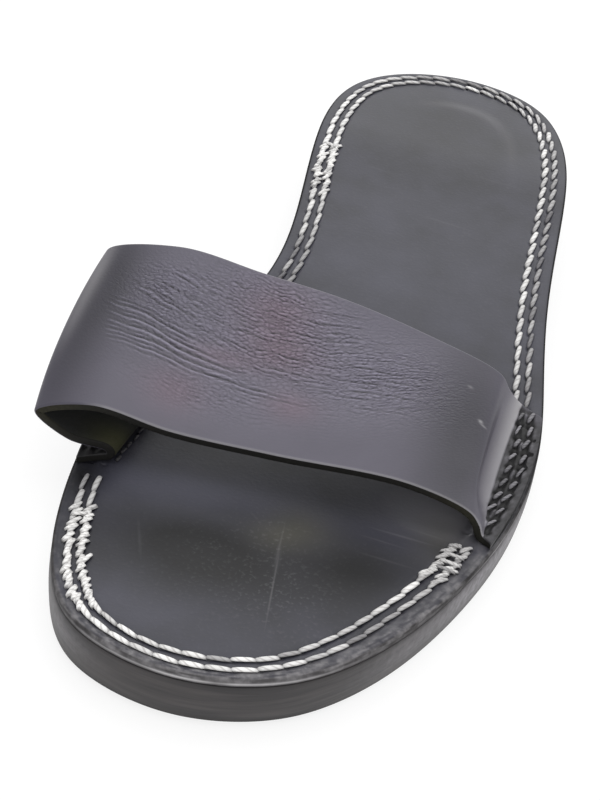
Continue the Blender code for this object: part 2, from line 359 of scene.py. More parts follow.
def outsole_under(along):
    """Height of the outsole's underside: on the lift, over the waist, on the floor, up at the toe."""
    heights = column(HEIGHTS, HEIGHT_COLUMNS, "outsole_under")
    return smooth_table(along, column(HEIGHTS, HEIGHT_COLUMNS, "along"), heights)


def heel_top(along):
    """Height of the heel lift's upper face, a seat gap below the outsole."""
    return outsole_under(0 * along) - SEAT_GAP


def outline_path():
    """The outline as a dense closed path: the ways round, places (along, across) and inward directions.

    Gives the toe's way and the whole way round too.
    """
    along = column(OUTLINE, OUTLINE_COLUMNS, "along")
    lateral = np.stack([along, column(OUTLINE, OUTLINE_COLUMNS, "lateral")], axis=1)
    medial = np.stack([along, -column(OUTLINE, OUTLINE_COLUMNS, "medial")], axis=1)
    tips = np.array([[0.0, HEEL_BACK_ACROSS], [SOLE_LENGTH, TOE_TIP_ACROSS]])
    loop = closed_curve(np.vstack([tips[:1], lateral, tips[1:], medial[::-1]]), OUTLINE_READINGS)
    loop = np.roll(loop, -loop[:, 0].argmin(), axis=0)
    step = np.linalg.norm(np.roll(loop, -1, axis=0) - loop, axis=1)
    way = np.concatenate([[0.0], np.cumsum(step)])
    ahead = np.roll(loop, -1, axis=0) - np.roll(loop, 1, axis=0)
    ahead /= np.linalg.norm(ahead, axis=1)[:, None]
    inward = np.stack([ahead[:, 1], -ahead[:, 0]], axis=1)
    return way[:-1], loop, inward, way[loop[:, 0].argmax()], way[-1]


PATH_WAY, PATH, PATH_INWARD, TOE_WAY, WHOLE_WAY = outline_path()
TOE_ROW = PATH[:, 0].argmax()


def plan(way, inset):
    """Place (along, across) at a way round and an inset: the outline there, moved inwards by the inset."""
    way, inset = np.broadcast_arrays(way, inset)
    parts = np.hstack([PATH, PATH_INWARD]).T
    along, across, in_along, in_across = (np.interp(way, PATH_WAY, part, period=WHOLE_WAY) for part in parts)
    return along + inset * in_along, across + inset * in_across


def side_path(side):
    """One side of the outline from heel to toe: its way round, along and across."""
    if side == "lateral":
        return PATH_WAY[:TOE_ROW + 1], PATH[:TOE_ROW + 1, 0], PATH[:TOE_ROW + 1, 1]
    return PATH_WAY[TOE_ROW:][::-1], PATH[TOE_ROW:, 0][::-1], PATH[TOE_ROW:, 1][::-1]


def across_of(along, side):
    """How far across the outline lies on one side."""
    _, side_along, side_across = side_path(side)
    return np.interp(along, side_along, side_across)


def middle_of(along):
    """How far across the middle between the outline's two sides lies."""
    return (across_of(along, "lateral") + across_of(along, "medial")) / 2


def way_of(along, side):
    """The way round of a place along the sole, on one side."""
    side_way, side_along, _ = side_path(side)
    return np.interp(along, side_along, side_way)


def row_size(way, row):
    """A named column of the white rows at ways round, such as how far a row lies inside the outline."""
    return np.interp(way, column(ROWS, ROW_COLUMNS, "way"), column(ROWS, ROW_COLUMNS, row), period=WHOLE_WAY)


def in_frame(along, across, height):
    """Points of the sandal in metres, in its own frame."""
    parts = np.broadcast_arrays(across - BOX_MIDDLE_ACROSS, SOLE_LENGTH / 2 - along, height)
    return np.stack(parts, axis=-1) * MM


def surface(name, grids, materials, uv=None, marks=None, finish=None, caps=()):
    """One mesh from grids of points: four-sided faces between neighbours, doubled points welded.

    `grids` is grids by rows by columns by xyz. `uv` and the named `marks` have a value for each point,
    `finish` the number of a material for each face, and `caps` lists rings of points that close an end.
    """
    count, rows, columns = grids.shape[:3]
    corner = np.arange(count * rows * columns).reshape(count, rows, columns)
    around = [corner[:, :-1, :-1], corner[:, :-1, 1:], corner[:, 1:, 1:], corner[:, 1:, :-1]]
    quads = np.stack(around, axis=-1).reshape(-1, 4)
    mesh = bpy.data.meshes.new(name)
    mesh.from_pydata(grids.reshape(-1, 3), [], quads.tolist() + [list(cap) for cap in caps])
    for material in materials:
        mesh.materials.append(material)
    if finish is not None:
        numbers = np.zeros(len(mesh.polygons), np.int32)
        numbers[:finish.size] = finish.ravel()
        mesh.polygons.foreach_set("material_index", numbers)
    if uv is not None:
        corners = np.empty(len(mesh.loops), np.int32)
        mesh.loops.foreach_get("vertex_index", corners)
        mesh.uv_layers.new(name="UVMap").data.foreach_set("uv", uv.reshape(-1, 2)[corners].ravel())
    for mark, values in (marks or {}).items():
        data = mesh.attributes.new(mark, "FLOAT", "POINT").data
        data.foreach_set("value", values.astype(np.float32).ravel())
    bm = bmesh.new()
    bm.from_mesh(mesh)
    bmesh.ops.remove_doubles(bm, verts=bm.verts, dist=WELD)
    bmesh.ops.recalc_face_normals(bm, faces=bm.faces)
    bm.to_mesh(mesh)
    bm.free()
    mesh.shade_smooth()
    made = bpy.data.objects.new(name, mesh)
    bpy.context.scene.collection.objects.link(made)
    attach(made, "root")
    return made


def spots(x, y, table):
    """Sum of soft spots: each row's strength times bells over its distances from x and y in its reaches."""
    total = np.zeros(np.broadcast(x, y).shape)
    for at_x, at_y, reach_x, reach_y, strength in table:
        total = total + strength * bell((x - at_x) / reach_x) * bell((y - at_y) / reach_y)
    return total


def bands(x, table):
    """Sum of soft bands: each row's strength times a bell over its distance from x in its own reach."""
    return sum(strength * bell((x - at) / reach) for at, reach, strength in table)


# Hollows that the foot has pressed into the footbed: along, across, reaches, depth
FOOT_HOLLOWS = (
    (40.0, 3.0, 26.0, 20.0, 0.35),
    (196.0, -22.0, 24.0, 18.0, 0.35),
    (182.0, 18.0, 24.0, 16.0, 0.25),
    (242.0, -26.0, 12.0, 10.0, 0.30),
    (236.0, -2.0, 10.0, 9.0, 0.18),
)
CHANNEL_DEPTH = 0.28
CHANNEL_REACH = 0.9
HOLE_DEPTH = 0.55
HOLE_REACH_ALONG = 0.55
HOLE_REACH_ACROSS = 0.75


def in_stitches(way, off, pitch, slant):
    """The way round counted in stitches, on a line that slants as they do."""
    return (way - off * slant / pitch) / pitch


def sewn_dents(way, inset, rows, pitch, slant):
    """How deep the thread has pulled the leather down: a channel under each row, a pit at each needle hole.

    A channel is a bell over the inset from its row. A pit is a bell over the inset and over the distance to
    the nearest whole number of pitches, on a line that slants as the stitches do.
    """
    depth = np.zeros(np.broadcast(way, inset).shape)
    for row in rows:
        off = inset - row
        depth += CHANNEL_DEPTH * bell(off / CHANNEL_REACH)
        places = in_stitches(way, off, pitch, slant)
        gap = (places - np.round(places)) * pitch
        depth += HOLE_DEPTH * bell(off / HOLE_REACH_ACROSS) * bell(gap / HOLE_REACH_ALONG)
    return depth


def footbed_height(along, across, way, inset):
    """Height of the worn footbed: its upper face less the foot's hollows and the sewing's dents."""
    rows = [row_size(way, "outer"), row_size(way, "inner")]
    dents = sewn_dents(way, inset, rows, WHITE_PITCH, row_size(way, "slant"))
    return footbed_top(along) - spots(along, across, FOOT_HOLLOWS) - dents


def stations(steps):
    """Ways round, `steps` evenly spaced on each side, closed on the first; and their share of the spine."""
    lateral = np.linspace(0.0, TOE_WAY, steps, endpoint=False)
    medial = np.linspace(TOE_WAY, WHOLE_WAY, steps + 1)
    share = np.linspace(0.0, 1.0, steps, endpoint=False)
    return np.concatenate([lateral, medial]), np.concatenate([share, np.linspace(1.0, 0.0, steps + 1)])


def spine(share):
    """The line down a layer's middle that its faces run in to: halfway between the two sides."""
    along = SPINE_HEEL + (SPINE_TOE - SPINE_HEEL) * share
    return along, middle_of(along)


def face_rows(way, share, start, rings, shrink):
    """Rows of a layer's face from its edge to its spine: rings at each inset, then a blend towards the spine.

    Gives along, across, way and inset, each rows by stations.
    """
    insets = np.linspace(start, FACE_INSET, rings)
    ring_along, ring_across = plan(way[None, :], insets[:, None])
    spine_along, spine_across = spine(share)
    blend = np.linspace(0.0, 1.0, shrink + 1)[1:, None]
    in_along = mix(ring_along[-1], spine_along, blend)
    in_across = mix(ring_across[-1], spine_across, blend)
    reach = np.hypot(in_along - ring_along[-1], in_across - ring_across[-1])
    inset = np.concatenate([np.broadcast_to(insets[:, None], ring_along.shape), FACE_INSET + reach])
    along = np.concatenate([ring_along, in_along])
    return along, np.concatenate([ring_across, in_across]), np.broadcast_to(way, along.shape), inset


def edge_rows(edge):
    """An edge's insets and shares of height, read smoothly between the table's points."""
    points = np.asarray(edge)[None]
    curve = through(points, (EDGE_STEPS,) * (len(edge) - 1))[0]
    return curve[:, 0], curve[:, 1]


def layer_grid(edge, under, top, steps, rings, shrink, top_height=None):
    """A sole layer as one grid: underside from the spine out, up its edge, upper face in to the spine.

    Gives the points, and the along, across, way round and inset of each.
    """
    way, share = stations(steps)
    insets, shares = edge_rows(edge)
    low = [part[::-1] for part in face_rows(way, share, insets[0], *UNDER_MESH)]
    side_along, side_across = plan(way[None, :], insets[:, None])
    side_height = mix(under(side_along), top(side_along), shares[:, None])
    high = face_rows(way, share, insets[-1], rings, shrink)
    high_height = top(high[0]) if top_height is None else top_height(*high)
    if top_height is not None:
        side_height = side_height + (high_height[0] - top(high[0][0])) * shares[:, None] ** EDGE_FOLLOW
    along = np.concatenate([low[0], side_along, high[0]])
    across = np.concatenate([low[1], side_across, high[1]])
    inset = np.concatenate([low[3], np.broadcast_to(insets[:, None], side_along.shape), high[3]])
    height = np.concatenate([under(low[0]), side_height, high_height])
    return in_frame(along, across, height), along, across, np.broadcast_to(way, along.shape), inset


# Where the outsole's side is lighter: way round, height over the floor, reaches, strength
LIGHTER_SIDE_SPOTS = (
    (214.0, 6.5, 14.0, 4.0, 1.0),
    (238.0, 6.5, 14.0, 4.0, 0.9),
    (262.0, 6.5, 12.0, 4.0, 0.45),
    (347.0, 7.5, 10.0, 3.0, 0.5),
    (362.0, 5.0, 7.0, 4.0, 0.4),
)
# The outsole's lower corner is darkened up to this height: painted shade along the underside's edge
SHADED_CORNER_HEIGHT = 1.6
# Round the heel the sides are darkened to matt black: way round, reach, strength
BLACK_SIDES = (
    (0.0, 60.0, 1.0),
    (110.0, 70.0, 1.0),
    (WHOLE_WAY - 95.0, 55.0, 1.0),
    (WHOLE_WAY, 60.0, 1.0),
)


def black_side(way):
    """How far the sole's side is darkened to black at ways round it, from 0 to 1."""
    return unit(bands(way, BLACK_SIDES))


def make_outsole(rubber):
    """The outsole: its edge's profile carried round the outline, closed below and above."""
    points, along, _, way, _ = layer_grid(OUTSOLE_EDGE, outsole_under, outsole_top, *OUTSOLE_MESH)
    height = points[..., 2] / MM
    # Lighter patches on the outsole's side
    buffed = unit(spots(way, height, LIGHTER_SIDE_SPOTS))
    # Painted shade along the lower corner, made black round the heel
    foot = unit(1.0 - (height - outsole_under(along)) / SHADED_CORNER_HEIGHT)
    foot = np.maximum(foot, black_side(way))
    marks = {"buffed": buffed[None], "foot": foot[None]}
    made = surface("outsole_rubber", points[None], [rubber], marks=marks)
    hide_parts("outsole")


def make_heel(rubber):
    """The heel lift: its edge's profile carried round the heel's outline and straight across the breast.

    The sides run from the heel's back to the breast; each face runs in to a line down its middle.
    """
    insets, shares = edge_rows(HEEL_EDGE)
    turn = np.linspace(0.0, 1.0, HEEL_SIDE_STEPS)
    lateral = way_of(BREAST_ALONG, "lateral") * turn
    medial = WHOLE_WAY - (WHOLE_WAY - way_of(BREAST_ALONG, "medial")) * turn[::-1]
    breast = np.linspace(0.0, 1.0, HEEL_BREAST_STEPS)
    side = [plan(ways[None, :], insets[:, None]) for ways in (lateral, medial)]
    along = [np.minimum(part[0], BREAST_ALONG - insets[:, None]) for part in side]
    start, end = side[0][1][:, -1:], side[1][1][:, :1]
    along.insert(1, np.broadcast_to(BREAST_ALONG - insets[:, None], (len(insets), len(breast))))
    across = np.concatenate([side[0][1], start + (end - start) * breast, side[1][1]], axis=1)
    along = np.concatenate(along, axis=1)
    height = heel_top(along) * shares[:, None]
    middle = np.clip(along[0], SPINE_HEEL, BREAST_ALONG - SPINE_HEEL)
    centre = middle_of(middle)
    blend = np.linspace(0.0, 1.0, HEEL_FACE_STEPS + 1)[1:, None]
    faces = []
    for row, level in ((0, 0.0), (-1, heel_top(along[-1]))):
        faces.append(in_frame(mix(along[row], middle, blend), mix(across[row], centre, blend), level))
    points = np.concatenate([faces[0][::-1], in_frame(along, across, height), faces[1]])
    way = np.concatenate([lateral, lateral[-1] + (medial[0] - lateral[-1]) * breast, medial])
    foot = np.broadcast_to(black_side(way), points.shape[:2])
    made = surface("heel_lift", points[None], [rubber], marks={"foot": foot[None]})
    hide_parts("heel")


# Looks of the footbed as soft spots: along, across, reaches, strength
WORN_SHINE = (
    (196.0, -20.0, 22.0, 20.0, 0.6),
    (243.0, -26.0, 12.0, 12.0, 0.5),
    (42.0, 3.0, 26.0, 20.0, 0.4),
)
OLIVE_WEAR = (
    (215.0, 2.0, 7.0, 7.0, 0.55),
    (221.0, -3.0, 5.0, 6.0, 0.4),
    (206.0, 32.0, 9.0, 6.0, 0.6),
)
# Spots darkened towards near black: painted shade under and before the strap's front edge and over the heel
# seat, and soil from the toes on the toe bed
SHADE_AND_SOIL_SPOTS = (
    (234.0, -12.0, 14.0, 26.0, 0.85),
    (226.0, 16.0, 13.0, 12.0, 0.6),
    (204.0, 14.0, 8.0, 20.0, 0.3),
    (230.0, -20.0, 12.0, 16.0, 0.5),
    (222.0, 20.0, 10.0, 12.0, 0.3),
    (36.0, 4.0, 24.0, 24.0, 0.5),
)
# Spots lightened towards a pale blue grey: painted light that lifts the footbed in the strap's shade, beside
# the toe and at its front, and a little at the waist
PAINTED_LIGHT_SPOTS = (
    (212.0, -30.0, 10.0, 16.0, 0.6),
    (209.0, -4.0, 6.0, 20.0, 0.5),
    (203.0, 26.0, 9.0, 12.0, 1.0),
    (120.0, 5.0, 30.0, 30.0, 0.22),
    (255.0, -14.0, 7.0, 22.0, 0.2),
    (196.0, 36.0, 9.0, 8.0, 0.9),
)
DUSTY = (
    (219.0, -4.0, 6.0, 7.0, 0.55),
    (232.0, -2.0, 9.0, 8.0, 0.4),
    (240.0, 6.0, 10.0, 9.0, 0.4),
    (230.0, -16.0, 5.0, 5.0, 0.3),
    (243.0, -8.0, 8.0, 14.0, 0.25),
)
# Where the heel has pressed a pale arc: way round from the heel's back, inset, reaches, strength
PRESSED_ARCS = (
    (2.0, 18.8, 18.0, 1.8, 0.8),
    (24.0, 18.6, 14.0, 1.8, 0.6),
    (48.0, 17.0, 14.0, 2.0, 0.3),
)
# The footbed's cut edge is inked dark; at the toe a painted highlight runs along it as a pale line, this far
# below the upper face
INKED_INSET = 0.65
EDGE_REACH = 2.0
RIM_BELOW = 1.25
RIM_REACH = 0.28
# The ink ends softly, over this inset
INK_FADE = 0.3
# Where the painted highlight line shows: way round, reach, strength; and how unevenly: mean, spread, size of
# the patches
RIM_WAYS = ((309.0, 24.0, 1.0), (216.0, 16.0, 0.8))
RIM_MEAN = 0.8
RIM_SPREAD = 0.4
RIM_SIZE = (4.0, 1.0)
RIM_SEED = 61
# The toe's edge has lost its ink and shine about this way round, over this reach
BARE_WAY = 300.0
BARE_REACH = 70.0
# Dust on the margin outside the toe's stitches: way round, inset, reaches, strength
MARGIN_DUST = ((303.0, 1.3, 34.0, 1.3, 1.0),)
# Where the toe's margin and edge are chafed grey: way round, run in from the edge's corner, reaches,
# strength; and how streaky it is: mean, least, size of the streaks along the way and inwards
CHAFED = (
    (262.0, 0.8, 50.0, 2.4, 1.0),
    (325.0, 0.4, 36.0, 2.2, 1.0),
)
STREAK_MEAN = 0.7
STREAK_LEAST = 0.2
STREAK_SIZE = (2.5, 0.5)
STREAK_SEED = 62
# Where the margin is darkened in front of the strap's inner flange: way round, inset, reaches, strength
DARK_MARGIN_SPOTS = ((391.0, 2.5, 9.0, 5.0, 0.9),)


def make_footbed(leather):
    """The footbed: one grid over its underside, edge and worn upper face, dented where it is sewn."""
    grid = layer_grid(FOOTBED_EDGE, footbed_under, footbed_top, *FOOTBED_MESH, footbed_height)
    points, along, across, way, inset = grid
    below = footbed_top(along) - points[..., 2] / MM
    run_in = inset - below
    from_back = np.where(way < WHOLE_WAY / 2, way, way - WHOLE_WAY)
    at_toe = bell((way - BARE_WAY) / BARE_REACH)
    inked = unit((INKED_INSET - inset) / INK_FADE)
    uneven = unit(RIM_MEAN + RIM_SPREAD * soft_noise(way, 0 * way, RIM_SIZE, RIM_SEED))
    rim_highlight = bell((below - RIM_BELOW) / RIM_REACH) * (inset < INKED_INSET) * bands(way, RIM_WAYS) * uneven
    streaks = soft_noise(way, run_in, STREAK_SIZE, STREAK_SEED)
    streaks = np.clip(STREAK_MEAN * (1.0 + streaks), STREAK_LEAST, 1.0)
    marks = {
        "shine": spots(along, across, WORN_SHINE),
        "olive": spots(along, across, OLIVE_WEAR),
        "dusty": spots(along, across, DUSTY) + spots(way, inset, MARGIN_DUST),
        # Darkened spots: painted shade with soil, and the margin's dark spot before the inner flange
        "shade_and_soil": spots(along, across, SHADE_AND_SOIL_SPOTS) + spots(way, inset, DARK_MARGIN_SPOTS),
        # Painted light: spots that lift the footbed in the strap's shade and at the toe
        "painted_light": spots(along, across, PAINTED_LIGHT_SPOTS),
        "chafed": spots(way, run_in, CHAFED) * streaks,
        "pressed": spots(from_back, inset, PRESSED_ARCS),
        # A painted highlight: a thin light line along the toe's edge
        "rim_highlight": rim_highlight,
        "inked": inked,
        "bare": at_toe,
        "edge": np.maximum(bell(inset / EDGE_REACH) * at_toe, inked),
    }
    marks = {name: unit(value)[None] for name, value in marks.items()}
    made = surface("footbed_leather", points[None], [leather], marks=marks)
    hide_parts("footbed")


def strap_size(name, share, part=None):
    """A named size of the strap at shares of its width: the parabola through the table's three sections."""
    at = np.linspace(0.0, 1.0, len(STRAP_SECTIONS))
    picked = [row[STRAP_COLUMNS.index(name)] for row in STRAP_SECTIONS]
    values = [value if part is None else value[part] for value in picked]
    return np.polyval(np.polyfit(at, values, len(at) - 1), share)


def strap_along(share, across, lead):
    """How far along the sole a point of the strap lies: the strap runs a little askew."""
    return strap_size("centre", share) - STRAP_SKEW * across + lead


def flange_edge(side, share):
    """Where a flange ends on the footbed at shares of the strap's width: across, and lead towards the toe.

    The lead grows with the flange's width and the width with the lead, so the two are found in a few tries.
    """
    outward = 1.0 if side == "lateral" else -1.0
    fold = strap_size(f"{side}_fold", share)
    across = fold
    for _ in range(EDGE_TRIES):
        lead = FLANGE_LEAD * np.abs(across - fold)
        across = across_of(strap_along(share, across, lead), side) - outward * FLANGE_INSET
    return across, lead


def strap_sections(share):
    """The strap's outer face at shares of its width, by points along its section: across, rise and lead."""
    inner, outer = strap_size("medial_fold", share), strap_size("lateral_fold", share)
    inner_edge, inner_lead = flange_edge("medial", share)
    outer_edge, outer_lead = flange_edge("lateral", share)
    none = np.zeros_like(share)
    lying, turned = none + LYING, none + LYING + 2 * FOLD_RADIUS
    points = [
        (inner_edge, lying, inner_lead),
        (inner - 2 * FOLD_RADIUS, lying, none),
        (inner, lying + FOLD_RADIUS, none),
        (inner - FOLD_RADIUS, turned, none),
    ]
    named = ("under", "bulge", "medial_top", "medial_crown", "crown", "lateral_top", "lateral_wall")
    points += [(strap_size(name, share, 0), strap_size(name, share, 1), none) for name in named]
    full = ease(unit(1.0 - share / TURN_SHARE))
    for front, rest in zip(*OUTER_TURN):
        out, up = (mix(later, first, full) for first, later in zip(front, rest))
        points.append((outer + out, lying + up, none))
    points.append((outer_edge, lying, outer_lead))
    return through(np.array(points).transpose(2, 0, 1), STRAP_STEPS)


def wall_loop():
    """Once round the strap's wall, cut lengthwise: share of its width, depth in the wall, and face number.

    The outer face runs front to rear (face 0), the rear cut edge down (1), the inner face back (2) and the
    front cut edge up (1), with quarter circles at the four corners.
    """
    rounding = CUT_ROUNDING / STRAP_WIDTH
    turn = np.linspace(0.0, np.pi / 2, CUT_STEPS)
    out, down = 1 - rounding + rounding * np.sin(turn), CUT_ROUNDING * (1 - np.cos(turn))
    outer = np.linspace(rounding, 1 - rounding, STRAP_ROWS)
    inner = np.linspace(1 - rounding, rounding, STRAP_INNER_ROWS)
    rear = np.concatenate([out[1:], out[::-1]])
    rear_depth = np.concatenate([down[1:], STRAP_THICKNESS - down[::-1]])
    share = np.concatenate([outer, rear, inner[1:], 1 - rear[-2::-1]])
    depth = np.concatenate([0 * outer, rear_depth, 0 * inner[1:] + STRAP_THICKNESS, rear_depth[-2::-1]])
    grain_turn = CUT_STEPS - 1
    sizes = (len(outer) - 1 + grain_turn, CUT_STEPS, len(inner) - 1, CUT_STEPS, grain_turn)
    return share, depth, np.repeat((0, 1, 2, 1, 0), sizes)


# The strap's main creases, on its outer face: way across it from the crown's middle (arc) and share of its
# width where each starts and where it ends, bow in the middle as a share, depth and half width
CREASES = (
    (-58.0, 0.675, -36.0, 0.555, -0.015, 0.14, 0.36),
    (-57.0, 0.645, -31.0, 0.510, -0.015, 0.17, 0.38),
    (-57.0, 0.615, -33.0, 0.490, -0.015, 0.14, 0.34),
    (-56.0, 0.590, -27.0, 0.455, -0.020, 0.18, 0.38),
    (-56.0, 0.560, -30.0, 0.440, -0.015, 0.14, 0.34),
    (-55.0, 0.535, -22.0, 0.415, -0.020, 0.20, 0.38),
    (-55.0, 0.505, -29.0, 0.405, -0.015, 0.14, 0.34),
    (-55.0, 0.480, -23.0, 0.385, -0.015, 0.18, 0.38),
    (-54.0, 0.450, -28.0, 0.370, -0.010, 0.14, 0.34),
    (-54.0, 0.425, -20.0, 0.352, -0.015, 0.16, 0.36),
    (-52.0, 0.395, -29.0, 0.335, -0.010, 0.09, 0.34),
    (-52.0, 0.715, -41.0, 0.635, -0.005, 0.12, 0.34),
    (-49.0, 0.740, -38.0, 0.660, -0.005, 0.13, 0.34),
    (-48.0, 0.790, -37.0, 0.715, 0.000, 0.12, 0.34),
    (-46.0, 0.700, -33.0, 0.615, -0.005, 0.13, 0.34),
    (-45.0, 0.840, -35.0, 0.775, 0.000, 0.11, 0.34),
    (-43.0, 0.880, -34.0, 0.825, 0.000, 0.09, 0.34),
    (-41.0, 0.755, -30.0, 0.690, 0.000, 0.09, 0.34),
    (-38.0, 0.610, -20.0, 0.560, -0.010, 0.08, 0.36),
    (-34.0, 0.670, -15.0, 0.640, -0.010, 0.07, 0.36),
    (-29.0, 0.360, -8.0, 0.343, -0.010, 0.10, 0.36),
    (-25.0, 0.322, -4.0, 0.322, -0.010, 0.09, 0.36),
    (-22.0, 0.500, -4.0, 0.503, -0.010, 0.09, 0.34),
    (-20.0, 0.460, 0.0, 0.462, -0.010, 0.07, 0.34),
    (-18.0, 0.580, 2.0, 0.600, -0.010, 0.09, 0.34),
    (-16.0, 0.720, 2.0, 0.765, -0.010, 0.09, 0.36),
    (-12.0, 0.810, 3.0, 0.865, -0.010, 0.08, 0.34),
    (-10.0, 0.870, 2.0, 0.925, -0.005, 0.07, 0.34),
    (-6.0, 0.435, 12.0, 0.462, -0.010, 0.07, 0.34),
    (-4.0, 0.530, 18.0, 0.590, -0.015, 0.09, 0.36),
    (-2.0, 0.620, 20.0, 0.690, -0.015, 0.09, 0.34),
    (2.0, 0.480, 22.0, 0.550, -0.010, 0.08, 0.34),
    (3.0, 0.570, 23.0, 0.655, -0.010, 0.07, 0.34),
    (4.0, 0.388, 20.0, 0.430, -0.010, 0.07, 0.34),
    (6.0, 0.710, 20.0, 0.775, -0.010, 0.06, 0.34),
)
# Where the fine wrinkles lie, and where the finish is rubbed brownish red: arc, share, reaches, strength
WRINKLED = (
    (-43.0, 0.52, 10.0, 0.17, 0.5),
    (-46.0, 0.76, 9.0, 0.14, 0.8),
    (-20.0, 0.62, 18.0, 0.30, 1.0),
    (-20.0, 0.90, 18.0, 0.14, 0.6),
    (6.0, 0.58, 16.0, 0.26, 0.9),
    (20.0, 0.66, 9.0, 0.20, 0.5),
    (-28.0, 0.24, 16.0, 0.12, 0.5),
)
RUBBED = (
    (-18.0, 0.80, 9.0, 0.16, 0.6),
    (-14.0, 0.58, 9.0, 0.12, 0.55),
    (-8.0, 0.30, 6.0, 0.09, 0.5),
    (-34.0, 0.22, 7.0, 0.12, 0.5),
    (-27.0, 0.47, 8.0, 0.06, 0.4),
)
# Painted shade down the strap's sides and the roll's outer face, darker than its lit top; and painted
# highlights along the roll's outer edge
PAINTED_SIDE_SHADE = (
    (-59.0, 0.30, 7.0, 0.50, 0.7),
    (-58.0, 0.85, 7.0, 0.35, 0.7),
    (-76.0, 0.50, 12.0, 0.80, 0.6),
    (29.0, 0.40, 9.0, 0.80, 0.85),
    (35.0, 0.40, 5.0, 0.80, 0.45),
    (-46.0, 0.60, 12.0, 0.30, 0.25),
)
ROLL_HIGHLIGHTS = (
    (-62.5, 0.85, 2.2, 0.22, 0.40),
    (-63.0, 0.55, 1.8, 0.20, 0.25),
)
SCUFFS = (
    (35.0, 0.60, 0.6, 0.010, 0.6),
    (36.0, 0.585, 0.9, 0.006, 0.4),
    (30.5, 0.78, 0.6, 0.008, 0.3),
)
# Where the cut edge shows olive: arc, reach, strength
OLIVE_CUTS = (
    (-60.0, 10.0, 1.0),
    (37.0, 8.0, 0.8),
)
# Where the flesh side is yellowed, on the roll's floor: arc, share, reaches, strength
YELLOWED = ((-86.0, 0.05, 6.0, 0.10, 1.0),)
# Sets of fine wrinkles: spacing, depth, how long one runs before it breaks, and its slope across the others
WRINKLE_SETS = (
    (1.15, 0.17, 4.0, 0.0),
    (0.95, 0.11, 2.6, 0.4),
    (1.05, 0.10, 2.2, -0.45),
)
# The wrinkles sag like a hammock: how much nearer the heel they lie per square of the way from their lowest
# place, to its inner and outer side
WRINKLE_SAG = (0.0065, 0.009)
WRINKLE_LOWEST = -15.0
# Noise that bends the wrinkles slowly and quickly: how far, size of its cells, seed. The slow one's cells are
# as long as the wrinkles run
SLOW_BEND = 0.8
SLOW_RISE = 3.0
SLOW_SEED = 20
QUICK_BEND = 0.3
QUICK_SIZE = (1.6, 1.5)
QUICK_SEED = 30
# Noise that breaks them up: share kept on average, where in the noise it is read, size of its cells, seed
BREAK_MEAN = 0.6
BREAK_SHIFT = 40.0
BREAK_RISE = 1.4
BREAK_SEED = 40
# A wrinkle is this power of a wave, less about its mean
WAVE_POWER = 3
WAVE_MEAN = 0.25
# How a crease wanders: how far, size of the noise's cells, how far apart two creases read it, seed
WANDER = 0.3
WANDER_SIZE = (4.0, 50.0)
WANDER_SHIFT = 10.0
WANDER_SEED = 3
# The ridges beside a crease: height as a share of its depth, place and reach in its half widths
RIDGE_HEIGHT = 0.5
RIDGE_OFF = 1.7
RIDGE_REACH = 0.8
# Creases and puckers fade out towards the cut edges, over these lengths
CREASE_FADE = 2.0
PUCKER_FADE = 3.0
# A crease this deep has its full shade
SHADE_DEPTH = 0.16
# From here round, the roll's underside is painted black: painted shade in the hollow between the roll and the
# flange below it
SHADED_UNDER_ARC = -80.0
SHADED_UNDER_FADE = 4.0
# From this share of the strap's width to its rear, the flanges lose this much of their ink
BARE_SHARE = 0.9
BARE_LOSS = 0.5
# The fold at the strap's outer foot carries a painted highlight, at its front less than at its rear
FOLD_HIGHLIGHT_OUT = 4.6
FOLD_HIGHLIGHT_REACH = (3.6, 1.8)
FOLD_HIGHLIGHT_FRONT = 0.4
# The cut edges carry painted highlights: share of the strap's width, arc from which they show, strength
CUT_HIGHLIGHTS = ((0.0, -52.0, 0.6), (1.0, -70.0, 0.4))
CUT_HIGHLIGHT_REACH = 0.3
CUT_HIGHLIGHT_FADE = 10.0


def wrinkle_level(arc, share):
    """How far to the rear a point lies, counted from the sagging line that its wrinkle follows."""
    sag = np.where(arc < WRINKLE_LOWEST, *WRINKLE_SAG)
    return share * STRAP_WIDTH - sag * (arc - WRINKLE_LOWEST) ** 2


def main_creases(arc, share):
    """Height of the listed creases: soft troughs with a ridge on both sides, fading at their ends."""
    height = np.zeros(arc.shape)
    for arc_from, share_from, arc_to, share_to, bow, depth, reach in CREASES:
        t = unit((arc - arc_from) / (arc_to - arc_from))
        centre = mix(share_from, share_to, t) + 4 * bow * t * (1 - t)
        wander = WANDER * soft_noise(arc, arc, WANDER_SIZE, WANDER_SEED, WANDER_SHIFT * share_from)
        off = np.abs((share - centre) * STRAP_WIDTH + wander) / reach
        fade = np.sqrt(np.maximum(np.sin(np.pi * t), 0.0))
        height += depth * fade * (RIDGE_HEIGHT * bell((off - RIDGE_OFF) / RIDGE_REACH) - bell(off))
    return height


def fine_wrinkles(arc, share):
    """Height of the fine wrinkles: sets of waves on sagging lines that cross, bent and broken up by noise."""
    level = wrinkle_level(arc, share)
    height = np.zeros(arc.shape)
    for layer, (spacing, depth, run, slope) in enumerate(WRINKLE_SETS):
        bend = slope * arc + SLOW_BEND * soft_noise(arc, level, (run, SLOW_RISE), SLOW_SEED + layer)
        bend += QUICK_BEND * soft_noise(arc, level, QUICK_SIZE, QUICK_SEED + layer)
        wave = 0.5 + 0.5 * np.cos(2 * np.pi * (level + bend) / spacing)
        gaps = soft_noise(arc, level, (run, BREAK_RISE), BREAK_SEED + layer, BREAK_SHIFT)
        height -= depth * unit(BREAK_MEAN + gaps) * (wave**WAVE_POWER - WAVE_MEAN)
    return height


